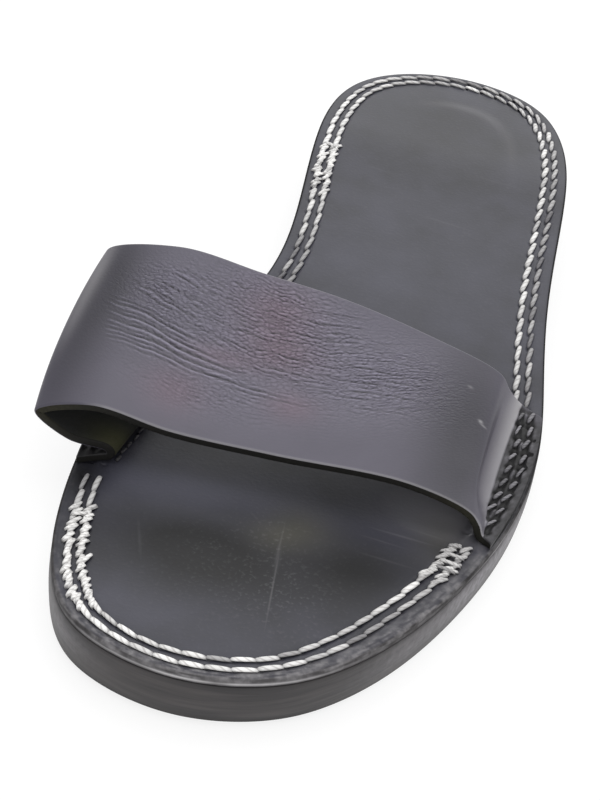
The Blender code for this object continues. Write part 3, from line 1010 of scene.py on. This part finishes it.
# The strap's flanges are dented this much deeper than the footbed, and puffed up beside each row of thread:
# height, place and reach off the row, mean share, and the size of the cells of noise that varies it
FLANGE_DENTS = 1.4
PUCKER_HEIGHT = 0.35
PUCKER_OFF = 1.1
PUCKER_REACH = 0.6
PUCKER_MEAN = 0.6
PUCKER_SIZE = (3.0, 1.5)
PUCKER_SEED = 11


def puckers(way, inset, rows):
    """Height of a sewn flange: the thread's dents, and leather puffed up between one stitch and the next."""
    height = -FLANGE_DENTS * sewn_dents(way, inset, rows, BLACK_PITCH, BLACK_SLANT)
    uneven = PUCKER_MEAN * (1.0 + soft_noise(way, inset, PUCKER_SIZE, PUCKER_SEED))
    for row in rows:
        off = inset - row
        between = np.sin(np.pi * (in_stitches(way, off, BLACK_PITCH, BLACK_SLANT) % 1.0)) ** 2
        height += PUCKER_HEIGHT * between * bell((np.abs(off) - PUCKER_OFF) / PUCKER_REACH) * uneven
    return height


def make_strap(grain, flesh, cut):
    """The strap: its section carried front to rear, with its wall, cut edges, creases and sewn flanges.

    A point lies on the outer face's section, moved in by its depth in the wall and out by the creases.
    """
    share, depth, face = wall_loop()
    section = strap_sections(share)
    across, rise, lead = section[..., 0], section[..., 1], section[..., 2]
    ahead = np.gradient(section[..., :2], axis=1)
    ahead /= np.linalg.norm(ahead, axis=2)[..., None]
    step = np.linalg.norm(np.diff(section[..., :2], axis=1), axis=2)
    arc = np.concatenate([np.zeros((len(share), 1)), np.cumsum(step, axis=1)], axis=1)
    arc -= (arc[:, CROWN_COLUMN] - across[:, CROWN_COLUMN])[:, None]
    shares = np.broadcast_to(share[:, None], arc.shape)
    along = strap_along(shares, across, lead)
    wrinkled = unit(spots(arc, shares, WRINKLED))
    near_cut = np.minimum(shares, 1 - shares) * STRAP_WIDTH
    relief = main_creases(arc, shares) + wrinkled * fine_wrinkles(arc, shares)
    relief *= unit(near_cut / CREASE_FADE)
    flange = np.zeros(arc.shape)
    for side, columns in FLANGE_COLUMNS.items():
        way = way_of(along[:, columns], side)
        inset = np.abs(across_of(along[:, columns], side) - across[:, columns])
        fade = unit(near_cut[:, columns] / PUCKER_FADE)
        relief[:, columns] = puckers(way, inset, BLACK_ROWS[side]) * fade
        flange[:, columns] = 1.0
    # Painted shade: from here round, the roll's underside is painted black for the shaded hollow between it
    # and the flange
    under = unit((SHADED_UNDER_ARC - arc) / SHADED_UNDER_FADE)
    inked = np.maximum(flange * (1 - BARE_LOSS * unit((shares - BARE_SHARE) / (1 - BARE_SHARE))), under)
    out = np.where(depth[:, None] < STRAP_THICKNESS / 2, relief, 0.0) - depth[:, None]
    across = across - out * ahead[..., 1]
    rise = rise + out * ahead[..., 0]
    along = strap_along(shares, across, lead)
    points = in_frame(along, across, footbed_top(along) + rise)
    closed = np.concatenate([points, points[:1]])
    rows, columns = arc.shape
    ring = np.arange(rows) * columns
    # Painted highlights on the outer fold and along the cut edges
    off_fold = arc - arc[:, OUTER_FOLD_COLUMN][:, None] - FOLD_HIGHLIGHT_OUT
    pale_and_lit = bell(off_fold / np.where(off_fold < 0, *FOLD_HIGHLIGHT_REACH)) * mix(FOLD_HIGHLIGHT_FRONT, 1.0, shares)
    for at, arc_from, strength in CUT_HIGHLIGHTS:
        shown = np.clip((arc - arc_from) / CUT_HIGHLIGHT_FADE, 0.0, strength)
        pale_and_lit = pale_and_lit + bell((shares - at) * STRAP_WIDTH / CUT_HIGHLIGHT_REACH) * shown
    # The valley mark carries the relief's depth for the creases' painted shade, and the painted shade under
    # the roll
    marks = {
        "wrinkled": wrinkled,
        "valley": np.maximum(np.clip(-relief / SHADE_DEPTH, -1.0, 1.0), 2 * under - 1),
        "rubbed": spots(arc, shares, RUBBED),
        "side_shade": spots(arc, shares, PAINTED_SIDE_SHADE),
        "olive": bands(arc, OLIVE_CUTS),
        "scuff": spots(arc, shares, SCUFFS),
        "yellowed": spots(arc, shares, YELLOWED),
        "flange": inked,
        "pale_and_lit": pale_and_lit * (1 - flange) + spots(arc, shares, ROLL_HIGHLIGHTS),
    }
    marks = {name: np.clip(value, -1.0, 1.0) for name, value in marks.items()}
    uv = np.stack([arc, wrinkle_level(arc, shares)], axis=-1) / UV_LENGTH
    made = surface(
        "strap_leather",
        closed[None],
        [grain, cut, flesh],
        uv=np.concatenate([uv, uv[:1]]),
        marks={name: np.concatenate([value, value[:1]]) for name, value in marks.items()},
        finish=np.repeat(face[:, None], columns - 1, axis=1),
        caps=(ring, ring + columns - 1),
    )
    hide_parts("strap")


STITCH_STEPS = 9
STITCH_SIDES = 6
STITCH_LIFT = 0.16
STITCH_SINK = 0.5
# How steeply a stitch dives at its ends, and how blunt they are
DIVE_POWER = 8
BLUNT_POWER = 0.25
# How high the thread's middle lies over the footbed: in its channel, and on the strap's flange
WHITE_BASE = 0.5 * THREAD_HEIGHT - CHANNEL_DEPTH
BLACK_BASE = LYING + 0.35 * THREAD_HEIGHT - CHANNEL_DEPTH


def stitch_grids(start, end, width, height):
    """Stitches as grids of points: lenses of thread that rise from one needle hole and dive into the next.

    `start` and `end` are stitches by (way, inset, base). The path goes straight between them, lifted by a
    parabola and sunk at both ends by an eighth power; its oval section shrinks to a point there.
    """
    t = np.linspace(0.0, 1.0, STITCH_STEPS)[None, :, None]
    turn = np.linspace(0.0, 2 * np.pi, STITCH_SIDES + 1)[None, None, :]
    swell = np.sin(np.pi * t) ** BLUNT_POWER
    way, inset, base = (mix(start[:, None, None, k], end[:, None, None, k], t) for k in range(3))
    aslant = np.arctan2(end[:, 1] - start[:, 1], end[:, 0] - start[:, 0])[:, None, None]
    offset = width[:, None, None] / 2 * swell * np.cos(turn)
    along, across = plan(way - offset * np.sin(aslant), inset + offset * np.cos(aslant))
    bend = STITCH_LIFT * 4 * t * (1 - t) - STITCH_SINK * np.abs(2 * t - 1) ** DIVE_POWER
    rise = base + bend + height[:, None, None] / 2 * swell * np.sin(turn)
    points = in_frame(along, across, footbed_top(along) + rise)
    uv = np.stack(np.broadcast_arrays(t + 0 * turn, turn / (2 * np.pi) + 0 * t), axis=-1)
    return points, np.broadcast_to(uv, (*points.shape[:3], 2))


def stitch_row(start, end, pitch, reach, inset, slant, base, stray, random):
    """Ends of the stitches of one row between two ways round: (way, inset, base) of each start and each end.

    A stitch reaches over a share of the pitch, and strays from it by chance.
    """
    way = np.arange(np.ceil(start / pitch), np.floor(end / pitch)) * pitch
    way_from = way + random.normal(0.0, WAY_SPREAD + stray, len(way))
    way_to = way + pitch * reach + random.normal(0.0, WAY_SPREAD + stray, len(way))
    lean = random.normal(0.0, LEAN_SPREAD + stray, (2, len(way)))
    inset_from = inset(way_from) - slant(way_from) / 2 + lean[0]
    inset_to = inset(way_to) + slant(way_to) / 2 + lean[1]
    level = base + stray * random.uniform(0.0, OVERLAP_RISE, len(way))
    return np.stack([way_from, inset_from, level], axis=1), np.stack([way_to, inset_to, level], axis=1)


def flange_ways(side):
    """Ways round of a flange's front and rear corner."""
    ends = np.array([0.0, 1.0])
    return way_of(strap_along(ends, *flange_edge(side, ends)), side)


def make_white_thread(thread):
    """The white rows round the toe and the heel, the places sewn over again, and the stitches that cross."""
    random = np.random.default_rng(STITCH_SEED)
    lateral_front, lateral_rear = flange_ways("lateral")
    medial_front, medial_rear = flange_ways("medial")
    spans = [
        (lateral_front + FRONT_GAP, medial_front - CORNER_GAP, WHITE_PITCH, 0.0, 0.0, 1.0),
        (medial_rear + CORNER_GAP, WHOLE_WAY + lateral_rear - CORNER_GAP, WHITE_PITCH, 0.0, 0.0, 1.0),
    ]
    for start, end, times, stray, slant in BACK_STITCHES:
        spans += [(start, end, BACK_PITCH, stray, slant, BACK_WIDTH)] * times
    rows = []
    for start, end, pitch, stray, slant, thin in spans:
        for row in ("outer", "inner"):
            row_start, row_end = stitch_row(
                start, end, pitch, WHITE_REACH, lambda way: row_size(way, row),
                lambda way: row_size(way, "slant") + slant, WHITE_BASE, stray, random,
            )
            # The brightness mark: clean against soiled, with painted shade beside the strap's inner side
            clean = row_size(row_start[:, 0], row + "_clean")
            rows.append((row_start, row_end, clean, np.full(len(clean), thin)))
    crossing = np.array(CROSS_STITCHES)
    level = np.full((len(crossing), 1), CROSS_BASE)
    row_start, row_end = np.hstack([crossing[:, :2], level]), np.hstack([crossing[:, 2:], level])
    clean = row_size(crossing[:, 0], "outer_clean")
    rows.append((row_start, row_end, clean, np.full(len(clean), BACK_WIDTH)))
    start, end, clean, width = (np.concatenate(part) for part in zip(*rows))
    clean = unit(clean + random.normal(0.0, CLEAN_SPREAD, len(clean)))
    width = width * THREAD_WIDTH * mix(WORN_WIDTH, 1.0, clean) * random.uniform(*WHITE_SIZES, len(clean))
    points, uv = stitch_grids(start, end, width, np.full(len(start), THREAD_HEIGHT))
    clean = np.broadcast_to(clean[:, None, None], points.shape[:3])
    made = surface("white_stitches", points, [thread], uv=uv, marks={"clean": clean})


def make_black_thread(thread):
    """Two black rows along each flange of the strap, and one on the footbed along the roll's floor."""
    random = np.random.default_rng(STITCH_SEED + 1)
    rows = []
    for side, insets in BLACK_ROWS.items():
        front, rear = flange_ways(side)
        low, high = min(front, rear) - ROW_LEAD[side], max(front, rear) - ROW_END_GAP
        for inset in insets:
            row_start, row_end = stitch_row(
                low, high, BLACK_PITCH, BLACK_REACH, lambda way: np.full_like(way, inset),
                lambda way: np.full_like(way, BLACK_SLANT), BLACK_BASE, BLACK_STRAY, random,
            )
            # Grey of each stitch: wax bloom and painted highlight on the glossy thread
            rows.append((row_start, row_end, THREAD_GREY[side] * random.uniform(*THREAD_GREY_SHARES, len(row_start))))
    row_start, row_end = stitch_row(
        *FOLD_ROW_WAYS, FOLD_PITCH, BLACK_REACH, lambda way: np.interp(way, FOLD_ROW_WAYS, FOLD_ROW_INSETS),
        np.zeros_like, FOLD_ROW_BASE, BLACK_STRAY, random,
    )
    rows.append((row_start, row_end, np.full(len(row_start), THREAD_GREY["medial"])))
    start, end, thread_grey = (np.concatenate(part) for part in zip(*rows))
    size = random.uniform(*BLACK_SIZES, len(start))
    points, uv = stitch_grids(start, end, THREAD_WIDTH * size, THREAD_HEIGHT * size)
    thread_grey = np.broadcast_to(thread_grey[:, None, None], points.shape[:3])
    made = surface("black_stitches", points, [thread], uv=uv, marks={"clean": thread_grey})


def linear(hex_colour):
    """An sRGB hex colour as linear red, green, blue and alpha."""
    parts = np.array([int(hex_colour[k:k + 2], 16) for k in (1, 3, 5)]) / 255.0
    parts = np.where(parts <= 0.04045, parts / 12.92, ((parts + 0.055) / 1.055) ** 2.4)
    return (*parts, 1.0)


def set_inputs(tree, node, inputs):
    """Sets a node's inputs: each one is a value, a hex colour, or an output socket to link."""
    for name, value in inputs.items():
        if isinstance(value, bpy.types.NodeSocket):
            tree.links.new(value, node.inputs[name])
        else:
            node.inputs[name].default_value = linear(value) if isinstance(value, str) else value


def add_node(tree, kind, inputs=None, **settings):
    """Adds a shader node with its settings and inputs. Gives its outputs."""
    made = tree.nodes.new("ShaderNode" + kind)
    for name, value in settings.items():
        setattr(made, name, value)
    set_inputs(tree, made, inputs or {})
    return made.outputs


def new_material(name):
    """A material, with what adds a node to its tree and what sets its shader's inputs."""
    made = bpy.data.materials.new(name)
    made.use_nodes = True
    tree = made.node_tree
    return made, partial(add_node, tree), partial(set_inputs, tree, tree.nodes["Principled BSDF"])


def per_metre(size_mm):
    """Scale of a pattern on Object coordinates, from the real size of its cells."""
    return 1.0 / (size_mm * MM)


def per_strap(size_mm):
    """Scale of a pattern on the strap's UV, from the real size of its cells."""
    return UV_LENGTH / size_mm


# Pale scratches and rubs on the footbed: along, across, turn from the long axis in degrees, half length,
# half width, strength
SCRATCHES = (
    (222.0, -1.2, 5.0, 9.0, 0.30, 0.10),
    (238.0, 0.9, 7.0, 15.0, 0.30, 0.16),
    (228.0, -0.4, 8.0, 7.0, 0.9, 0.07),
    (209.5, 24.0, 88.0, 9.0, 0.5, 0.16),
    (213.0, 20.0, 86.0, 7.0, 0.4, 0.08),
    (206.5, 29.0, 84.0, 6.0, 0.5, 0.10),
    # The next two, wide and soft, are painted light that lifts the footbed's shade beside the strap's outer
    # front
    (204.0, 26.0, 88.0, 18.0, 7.0, 0.10),
    (198.5, 33.0, 88.0, 17.0, 11.0, 0.45),
    (219.0, 22.0, 87.0, 8.0, 0.5, 0.06),
    (233.0, -30.0, 20.0, 8.0, 0.5, 0.05),
    (66.0, -12.0, 80.0, 7.0, 0.5, 0.04),
    (84.0, 10.0, 84.0, 9.0, 0.6, 0.04),
    (58.0, 20.0, 86.0, 8.0, 0.6, 0.03),
)
SCRATCH_HEIGHT = 100.0
FOOTBED_MARKS = (
    "shine", "olive", "dusty", "shade_and_soil", "painted_light", "pressed", "rim_highlight", "inked", "bare", "edge", "chafed",
)
STRAP_MARKS = ("rubbed", "side_shade", "scuff", "valley", "wrinkled", "flange", "pale_and_lit")


def footbed_leather():
    """Vegetable-tanned insole leather, dyed black and waxed: smooth and satin, polished where the foot rubs.

    Lighter where scratches, pressed arcs and dust show the undyed hide, olive where the wax has yellowed. A
    light line along the toe's edge is a painted highlight; spots of painted light lift the footbed in the
    strap's shade, and spots of painted shade darken it under and before the strap's front and over the heel
    seat, while toe dirt darkens the toe bed.
    """
    made, add, finish = new_material("waxed_insole_leather")
    mark = {name: add("Attribute", attribute_name=name)["Fac"] for name in FOOTBED_MARKS}
    place = add("TexCoord")["Object"]
    cloudy = add("TexNoise", {"Vector": place, "Scale": per_metre(14.0), "Detail": 6.0})["Fac"]
    cloudy = add("MapRange", {"Value": cloudy, "From Min": 0.22, "From Max": 0.78})["Result"]
    pores = add("TexNoise", {"Vector": place, "Scale": per_metre(0.9), "Detail": 3.0})["Fac"]
    patches = add("TexNoise", {"Vector": place, "Scale": per_metre(1.8), "Detail": 5.0})["Fac"]
    patches = add("MapRange", {"Value": patches, "From Min": 0.2, "From Max": 0.65})["Result"]
    chafed = add("Math", {0: patches, 1: mark["chafed"]}, operation="MULTIPLY")[0]
    specks = add("MapRange", {"Value": pores, "From Min": 0.55, "From Max": 0.75})["Result"]
    dust = add("Math", {0: specks, 1: mark["dusty"]}, operation="MULTIPLY")[0]
    pale_and_lit = add("Math", {0: specks, 1: 0.025}, operation="MULTIPLY")[0]
    bared_and_lit = [(dust, 0.16), (mark["pressed"], 0.16)]
    for along, across, turn, half_length, half_width, strength in SCRATCHES:
        spot = add("Mapping", {
            "Vector": place,
            "Location": in_frame(along, across, float(footbed_top(np.array(along)))),
            "Rotation": (0.0, 0.0, np.radians(90.0 + turn)),
            "Scale": np.array([half_length, half_width, SCRATCH_HEIGHT]) * MM,
        }, vector_type="TEXTURE")["Vector"]
        bared_and_lit.append((add("TexGradient", {"Vector": spot}, gradient_type="SPHERICAL")["Fac"], strength))
    for share, strength in bared_and_lit:
        pale_and_lit = add("Math", {0: share, 1: strength, 2: pale_and_lit}, operation="MULTIPLY_ADD")[0]
    ink = add("Mix", {0: mark["bare"], 6: "#100f10", 7: "#3e3c3d"}, data_type="RGBA")[2]
    colour = "#212128"
    # Colours in turn: cloudy tone, painted light, painted shade with soil, olive wax, the edge's ink,
    # chafing, scratches and dust with two spots of painted light, and the toe edge's painted highlight
    for share, over in (
        (cloudy, "#3b3b47"),
        (mark["painted_light"], "#5a5a68"),
        (mark["shade_and_soil"], "#141416"),
        (mark["olive"], "#464437"),
        (mark["inked"], ink),
        (chafed, "#7e7c7e"),
        (pale_and_lit, "#a3a1a4"),
        (mark["rim_highlight"], "#c4c2c4"),
    ):
        colour = add("Mix", {0: share, 6: colour, 7: over}, data_type="RGBA")[2]
    polish = {"Value": mark["shine"], "From Max": 1.0, "To Min": 0.46, "To Max": 0.40}
    rough = add("MapRange", polish)["Result"]
    rough = add("Math", {0: mark["edge"], 1: 0.34, 2: rough}, operation="MULTIPLY_ADD", use_clamp=True)[0]
    dull = {0: mark["shade_and_soil"], 1: 0.45, 2: mark["edge"]}
    dull = add("Math", dull, operation="MULTIPLY_ADD", use_clamp=True)[0]
    gloss = add("MapRange", {"Value": dull, "From Max": 1.0, "To Min": 0.5, "To Max": 0.15})["Result"]
    bump = add("Bump", {"Strength": 0.3, "Distance": 0.12 * MM, "Height": pores})["Normal"]
    finish({"Base Color": colour, "Roughness": rough, "Specular IOR Level": gloss, "Normal": bump})
    return made


def strap_leather():
    """Drum-dyed cowhide: dark and slightly purple, redder and lighter where it is rubbed.

    Fine short wrinkles are the thin lines of a ridged noise and the edges of cells, both drawn out along the
    strap. Painted shade darkens its creases, its sides and the roll's underside; painted highlights lighten
    the creases' ridges, the puckers of its flanges, the roll's edge, the outer fold and the cut edges.
    """
    made, add, finish = new_material("drum_dyed_cowhide")
    mark = {name: add("Attribute", attribute_name=name)["Fac"] for name in STRAP_MARKS}
    place = add("UVMap")["UV"]
    cloudy = add("TexNoise", {"Vector": place, "Scale": per_strap(16.0), "Detail": 5.0})["Fac"]
    grain = add("TexVoronoi", {"Vector": place, "Scale": per_strap(0.7)})["Distance"]
    drawn = add("Mapping", {"Vector": place, "Scale": (per_strap(3.2), per_strap(1.0), 1.0)})["Vector"]
    lines = {"Vector": drawn, "Scale": 1.0, "Detail": 2.0, "Distortion": 0.6}
    lines = add("TexNoise", lines, noise_type="RIDGED_MULTIFRACTAL")["Fac"]
    cells = add("Mapping", {"Vector": place, "Scale": (per_strap(1.6), per_strap(0.95), 1.0)})["Vector"]
    edges = add("TexVoronoi", {"Vector": cells, "Scale": 1.0}, feature="DISTANCE_TO_EDGE")["Distance"]
    cracks = add("MapRange", {"Value": edges, "From Max": 0.22, "To Min": 0.7, "To Max": 0.0})["Result"]
    fine = add("MapRange", {"Value": lines, "From Min": 0.35, "From Max": 1.0})["Result"]
    fine = add("Math", {0: fine, 1: cracks}, operation="MAXIMUM")[0]
    fine = add("Math", {0: fine, 1: mark["wrinkled"]}, operation="MULTIPLY")[0]
    # The wrinkled zone is lightened as painted highlight on the wrinkles' ridges, which its dark lines cross
    worn = add("Math", {0: mark["wrinkled"], 1: 0.85}, operation="MULTIPLY")[0]
    # Painted shade in the creases and under the roll, deeper in the fine cracks
    shade = {"Value": mark["valley"], "From Min": -0.4, "From Max": 1.0, "To Min": 0.0, "To Max": 0.78}
    shade = add("MapRange", shade)["Result"]
    shade = add("Math", {0: fine, 1: 0.42, 2: shade}, operation="MULTIPLY_ADD", use_clamp=True)[0]
    # Painted highlight on the raised ridges beside each crease
    ridge = {"Value": mark["valley"], "From Min": -0.1, "From Max": -0.8, "To Max": 0.45}
    ridge = add("MapRange", ridge)["Result"]
    # On the flanges: painted highlights on the puckers between stitches and painted shade in their dents,
    # made patchy, over the black ink
    pucker_highlight = add("MapRange", {"Value": mark["valley"], "From Min": 0.6, "From Max": -1.0})["Result"]
    patchy = add("TexNoise", {"Vector": place, "Scale": per_strap(1.6), "Detail": 4.0})["Fac"]
    patchy = add("MapRange", {"Value": patchy, "From Min": 0.25, "From Max": 0.75})["Result"]
    pucker_highlight = add("Math", {0: pucker_highlight, 1: patchy}, operation="MULTIPLY")[0]
    sewn = add("Mix", {0: pucker_highlight, 6: "#0b0a0c", 7: "#69676d"}, data_type="RGBA")[2]
    # Painted highlights on the outer fold, the cut edges and the roll's edge, with pale scuffs added
    lift = add("Math", {0: mark["pale_and_lit"], 1: 0.75}, operation="MULTIPLY")[0]
    lift = add("Math", {0: lift, 1: mark["scuff"]}, operation="ADD", use_clamp=True)[0]
    # Colours in turn: cloudy tone, the wrinkles' painted highlight, painted shade down the sides, rubbed red,
    # painted shade in creases, painted highlight on ridges, the flanges, and the painted highlights with
    # scuffs
    colour = "#524f5c"
    for share, over in (
        (cloudy, "#64606f"),
        (worn, "#7f7a8c"),
        (mark["side_shade"], "#33313c"),
        (mark["rubbed"], "#7d6473"),
        (shade, "#1f1d22"),
        (ridge, "#a29eb0"),
        (mark["flange"], sewn),
        (lift, "#aeacae"),
    ):
        colour = add("Mix", {0: share, 6: colour, 7: over}, data_type="RGBA")[2]
    rough = {"Value": mark["flange"], "From Max": 1.0, "To Min": 0.46, "To Max": 0.62}
    rough = add("MapRange", rough)["Result"]
    folded = add("Bump", {"Strength": 0.8, "Distance": 0.25 * MM, "Height": fine}, invert=True)["Normal"]
    bump = add("Bump", {"Strength": 0.25, "Distance": 0.08 * MM, "Height": grain, "Normal": folded})["Normal"]
    finish({"Base Color": colour, "Roughness": rough, "Normal": bump})
    return made


def flesh_leather():
    """The strap's flesh side, split and buffed: dull, nearly black and olive, with a short nap."""
    made, add, finish = new_material("flesh_side_leather")
    place = add("UVMap")["UV"]
    nap = add("TexNoise", {"Vector": place, "Scale": per_strap(1.2), "Detail": 5.0})["Fac"]
    yellowed = add("Attribute", attribute_name="yellowed")["Fac"]
    colour = "#0c0d0d"
    for share, over in ((nap, "#191a18"), (yellowed, "#3b3b20")):
        colour = add("Mix", {0: share, 6: colour, 7: over}, data_type="RGBA")[2]
    bump = add("Bump", {"Strength": 0.6, "Distance": 0.3 * MM, "Height": nap})["Normal"]
    finish({"Base Color": colour, "Roughness": 0.9, "Normal": bump})
    return made


def cut_leather():
    """The strap's cut edge: fibrous and inked black, bare and olive where the ink has worn off."""
    made, add, finish = new_material("cut_edge_leather")
    place = add("TexCoord")["Object"]
    fibre = add("TexNoise", {"Vector": place, "Scale": per_metre(0.8), "Detail": 4.0})["Fac"]
    olive = add("Attribute", attribute_name="olive")["Fac"]
    bare = add("Mix", {0: fibre, 6: "#16150e", 7: "#302e20"}, data_type="RGBA")[2]
    inked = add("Mix", {0: fibre, 6: "#0c0c0b", 7: "#1c1b18"}, data_type="RGBA")[2]
    colour = add("Mix", {0: olive, 6: inked, 7: bare}, data_type="RGBA")[2]
    bump = add("Bump", {"Strength": 0.5, "Distance": 0.2 * MM, "Height": fibre})["Normal"]
    finish({"Base Color": colour, "Roughness": 0.75, "Specular IOR Level": 0.25, "Normal": bump})
    return made


def sole_rubber():
    """Sanded sole rubber: dark grey, satin, with level streaks left by the sanding wheel; black round the
    heel, and darker along its lower corner as painted shade.
    """
    made, add, finish = new_material("sanded_sole_rubber")
    buffed, foot = (add("Attribute", attribute_name=name)["Fac"] for name in ("buffed", "foot"))
    place = add("TexCoord")["Object"]
    drawn = add("Mapping", {"Vector": place, "Scale": (0.06, 0.06, 1.0)})["Vector"]
    sanding = add("TexNoise", {"Vector": drawn, "Scale": per_metre(1.2), "Detail": 4.0})["Fac"]
    streaks = add("MapRange", {"Value": sanding, "From Min": 0.4, "From Max": 0.75})["Result"]
    cloudy = add("TexNoise", {"Vector": place, "Scale": per_metre(18.0), "Detail": 4.0})["Fac"]
    scuffs = add("TexNoise", {"Vector": place, "Scale": per_metre(1.5), "Detail": 4.0})["Fac"]
    scuffs = add("MapRange", {"Value": scuffs, "From Min": 0.3, "From Max": 0.7, "To Min": 0.4})["Result"]
    buffed = add("Math", {0: buffed, 1: scuffs}, operation="MULTIPLY")[0]
    # Colours in turn: cloudy tone, sanding streaks, painted shade on the lower corner with the black heel
    # sides, and lighter patches on the side
    colour = "#1f1d1e"
    for share, over in ((cloudy, "#302d2f"), (streaks, "#3f3b3b"), (foot, "#0e0d0d"), (buffed, "#88858a")):
        colour = add("Mix", {0: share, 6: colour, 7: over}, data_type="RGBA")[2]
    gloss = add("MapRange", {"Value": foot, "From Max": 1.0, "To Min": 0.5, "To Max": 0.05})["Result"]
    bump = add("Bump", {"Strength": 0.5, "Distance": 0.2 * MM, "Height": sanding})["Normal"]
    finish({"Base Color": colour, "Roughness": 0.5, "Specular IOR Level": gloss, "Normal": bump})
    return made


def waxed_thread(name, light, shade, shade_and_soil):
    """Waxed two-ply sewing thread, slowly twisted: its groove in shade, its ends darker as painted shade
    where it dives, each stitch set between its dark and light colour by its mark.
    """
    made, add, finish = new_material(name)
    clean = add("Attribute", attribute_name="clean")["Fac"]
    parts = add("SeparateXYZ", {0: add("UVMap")["UV"]})
    twist = add("Math", {0: parts["X"], 1: 1.5, 2: parts["Y"]}, operation="MULTIPLY_ADD")[0]
    turns = add("Math", {0: twist, 1: 4 * np.pi}, operation="MULTIPLY")[0]
    ply = add("Math", {0: turns}, operation="SINE")[0]
    groove = add("MapRange", {"Value": ply, "From Min": -0.2, "From Max": -1.0})["Result"]
    # The ends, where the thread dives into its holes, are darkened as painted shade
    from_end = add("Math", {0: parts["X"], 1: 0.5}, operation="PINGPONG")[0]
    kept = add("MapRange", {"Value": from_end, "From Max": 0.25, "To Min": 0.35})["Result"]
    kept = add("Math", {0: kept, 1: clean}, operation="MULTIPLY")[0]
    colour = add("Mix", {0: kept, 6: shade_and_soil, 7: light}, data_type="RGBA")[2]
    colour = add("Mix", {0: groove, 6: colour, 7: shade}, data_type="RGBA", blend_type="MULTIPLY")[2]
    bump = add("Bump", {"Strength": 0.3, "Distance": 0.12 * MM, "Height": groove}, invert=True)["Normal"]
    finish({"Base Color": colour, "Roughness": 0.6, "Normal": bump})
    return made


FLOOR_SIZE = 8.0
CAMERA_PLACE = Vector((45.6, -391.7, 278.4)) * MM
CAMERA_AIM = Vector((-1.4, -39.4, 15.0)) * MM
CAMERA_ROLL = np.radians(9.91)
CAMERA_LENS = 111.6
CAMERA_NEAR = 0.01
SURROUND = 0.55
FLOOR_GLOW = 0.82
# Softboxes: name, place, width, height, and brightness of the face
SOFTBOXES = (
    ("back_softbox", (0.0, 1.5, 0.6), 2.2, 0.8, 1.5),
    ("top_softbox", (0.0, 0.2, 1.3), 1.4, 1.4, 1.6),
    ("left_softbox", (-1.2, -0.35, 0.45), 1.0, 1.0, 0.25),
    ("front_softbox", (0.2, -1.0, 0.5), 1.6, 1.0, 0.5),
)


def make_floor():
    """A plain white floor, lit a little from below as a photographer's light table is."""
    made, _, finish = new_material("white_acrylic")
    finish({"Base Color": "#7d7d7d", "Roughness": 0.9})
    finish({"Emission Color": "#ffffff", "Emission Strength": FLOOR_GLOW})
    half = FLOOR_SIZE / 2
    corners = [(-half, -half, 0), (half, -half, 0), (half, half, 0), (-half, half, 0)]
    mesh = bpy.data.meshes.new("floor")
    mesh.from_pydata(corners, [], [(0, 1, 2, 3)])
    mesh.materials.append(made)
    sheet = bpy.data.objects.new("floor", mesh)
    bpy.context.scene.collection.objects.link(sheet)


def make_light():
    """A light tent: a dim white surround, and large softboxes behind, above, at the left and in front."""
    world = bpy.data.worlds.new("light_tent")
    world.use_nodes = True
    tree = world.node_tree
    set_inputs(tree, tree.nodes["Background"], {"Color": "#ffffff", "Strength": SURROUND})
    bpy.context.scene.world = world
    for name, place, width, height, brightness in SOFTBOXES:
        light = bpy.data.lights.new(name, "AREA")
        light.shape = "RECTANGLE"
        light.size = width
        light.size_y = height
        light.energy = brightness * np.pi * width * height
        box = bpy.data.objects.new(name, light)
        box.location = place
        box.rotation_mode = "QUATERNION"
        box.rotation_quaternion = (-Vector(place)).to_track_quat("-Z", "Y")
        bpy.context.scene.collection.objects.link(box)


def make_camera():
    """The photograph's view of this one sandal, rolled as it is there."""
    view = bpy.data.cameras.new("camera")
    view.sensor_fit = "HORIZONTAL"
    view.lens = CAMERA_LENS
    view.clip_start = CAMERA_NEAR
    camera = bpy.data.objects.new("camera", view)
    camera.location = CAMERA_PLACE
    camera.rotation_mode = "QUATERNION"
    level = (CAMERA_AIM - CAMERA_PLACE).to_track_quat("-Z", "Y")
    camera.rotation_quaternion = level @ Quaternion((0, 0, 1), CAMERA_ROLL)
    bpy.context.scene.collection.objects.link(camera)
    bpy.context.scene.camera = camera
    bpy.context.scene.view_settings.view_transform = "Standard"


def main():
    """Sets the stage and makes each piece with its material."""
    make_camera()
    make_floor()
    make_light()
    rubber = sole_rubber()
    make_outsole(rubber)
    make_heel(rubber)
    make_footbed(footbed_leather())
    make_strap(strap_leather(), flesh_leather(), cut_leather())
    # White thread: its dark colour stands for soil and for painted shade at the ends and beside the strap's
    # inner side
    make_white_thread(waxed_thread("white_waxed_thread", "#fdfcfa", "#d8d6d6", "#626064"))
    # Black thread: its light grey is wax bloom and painted highlight on the glossy thread
    make_black_thread(waxed_thread("black_waxed_thread", "#949297", "#b4b2b6", "#2c2b2e"))


main()
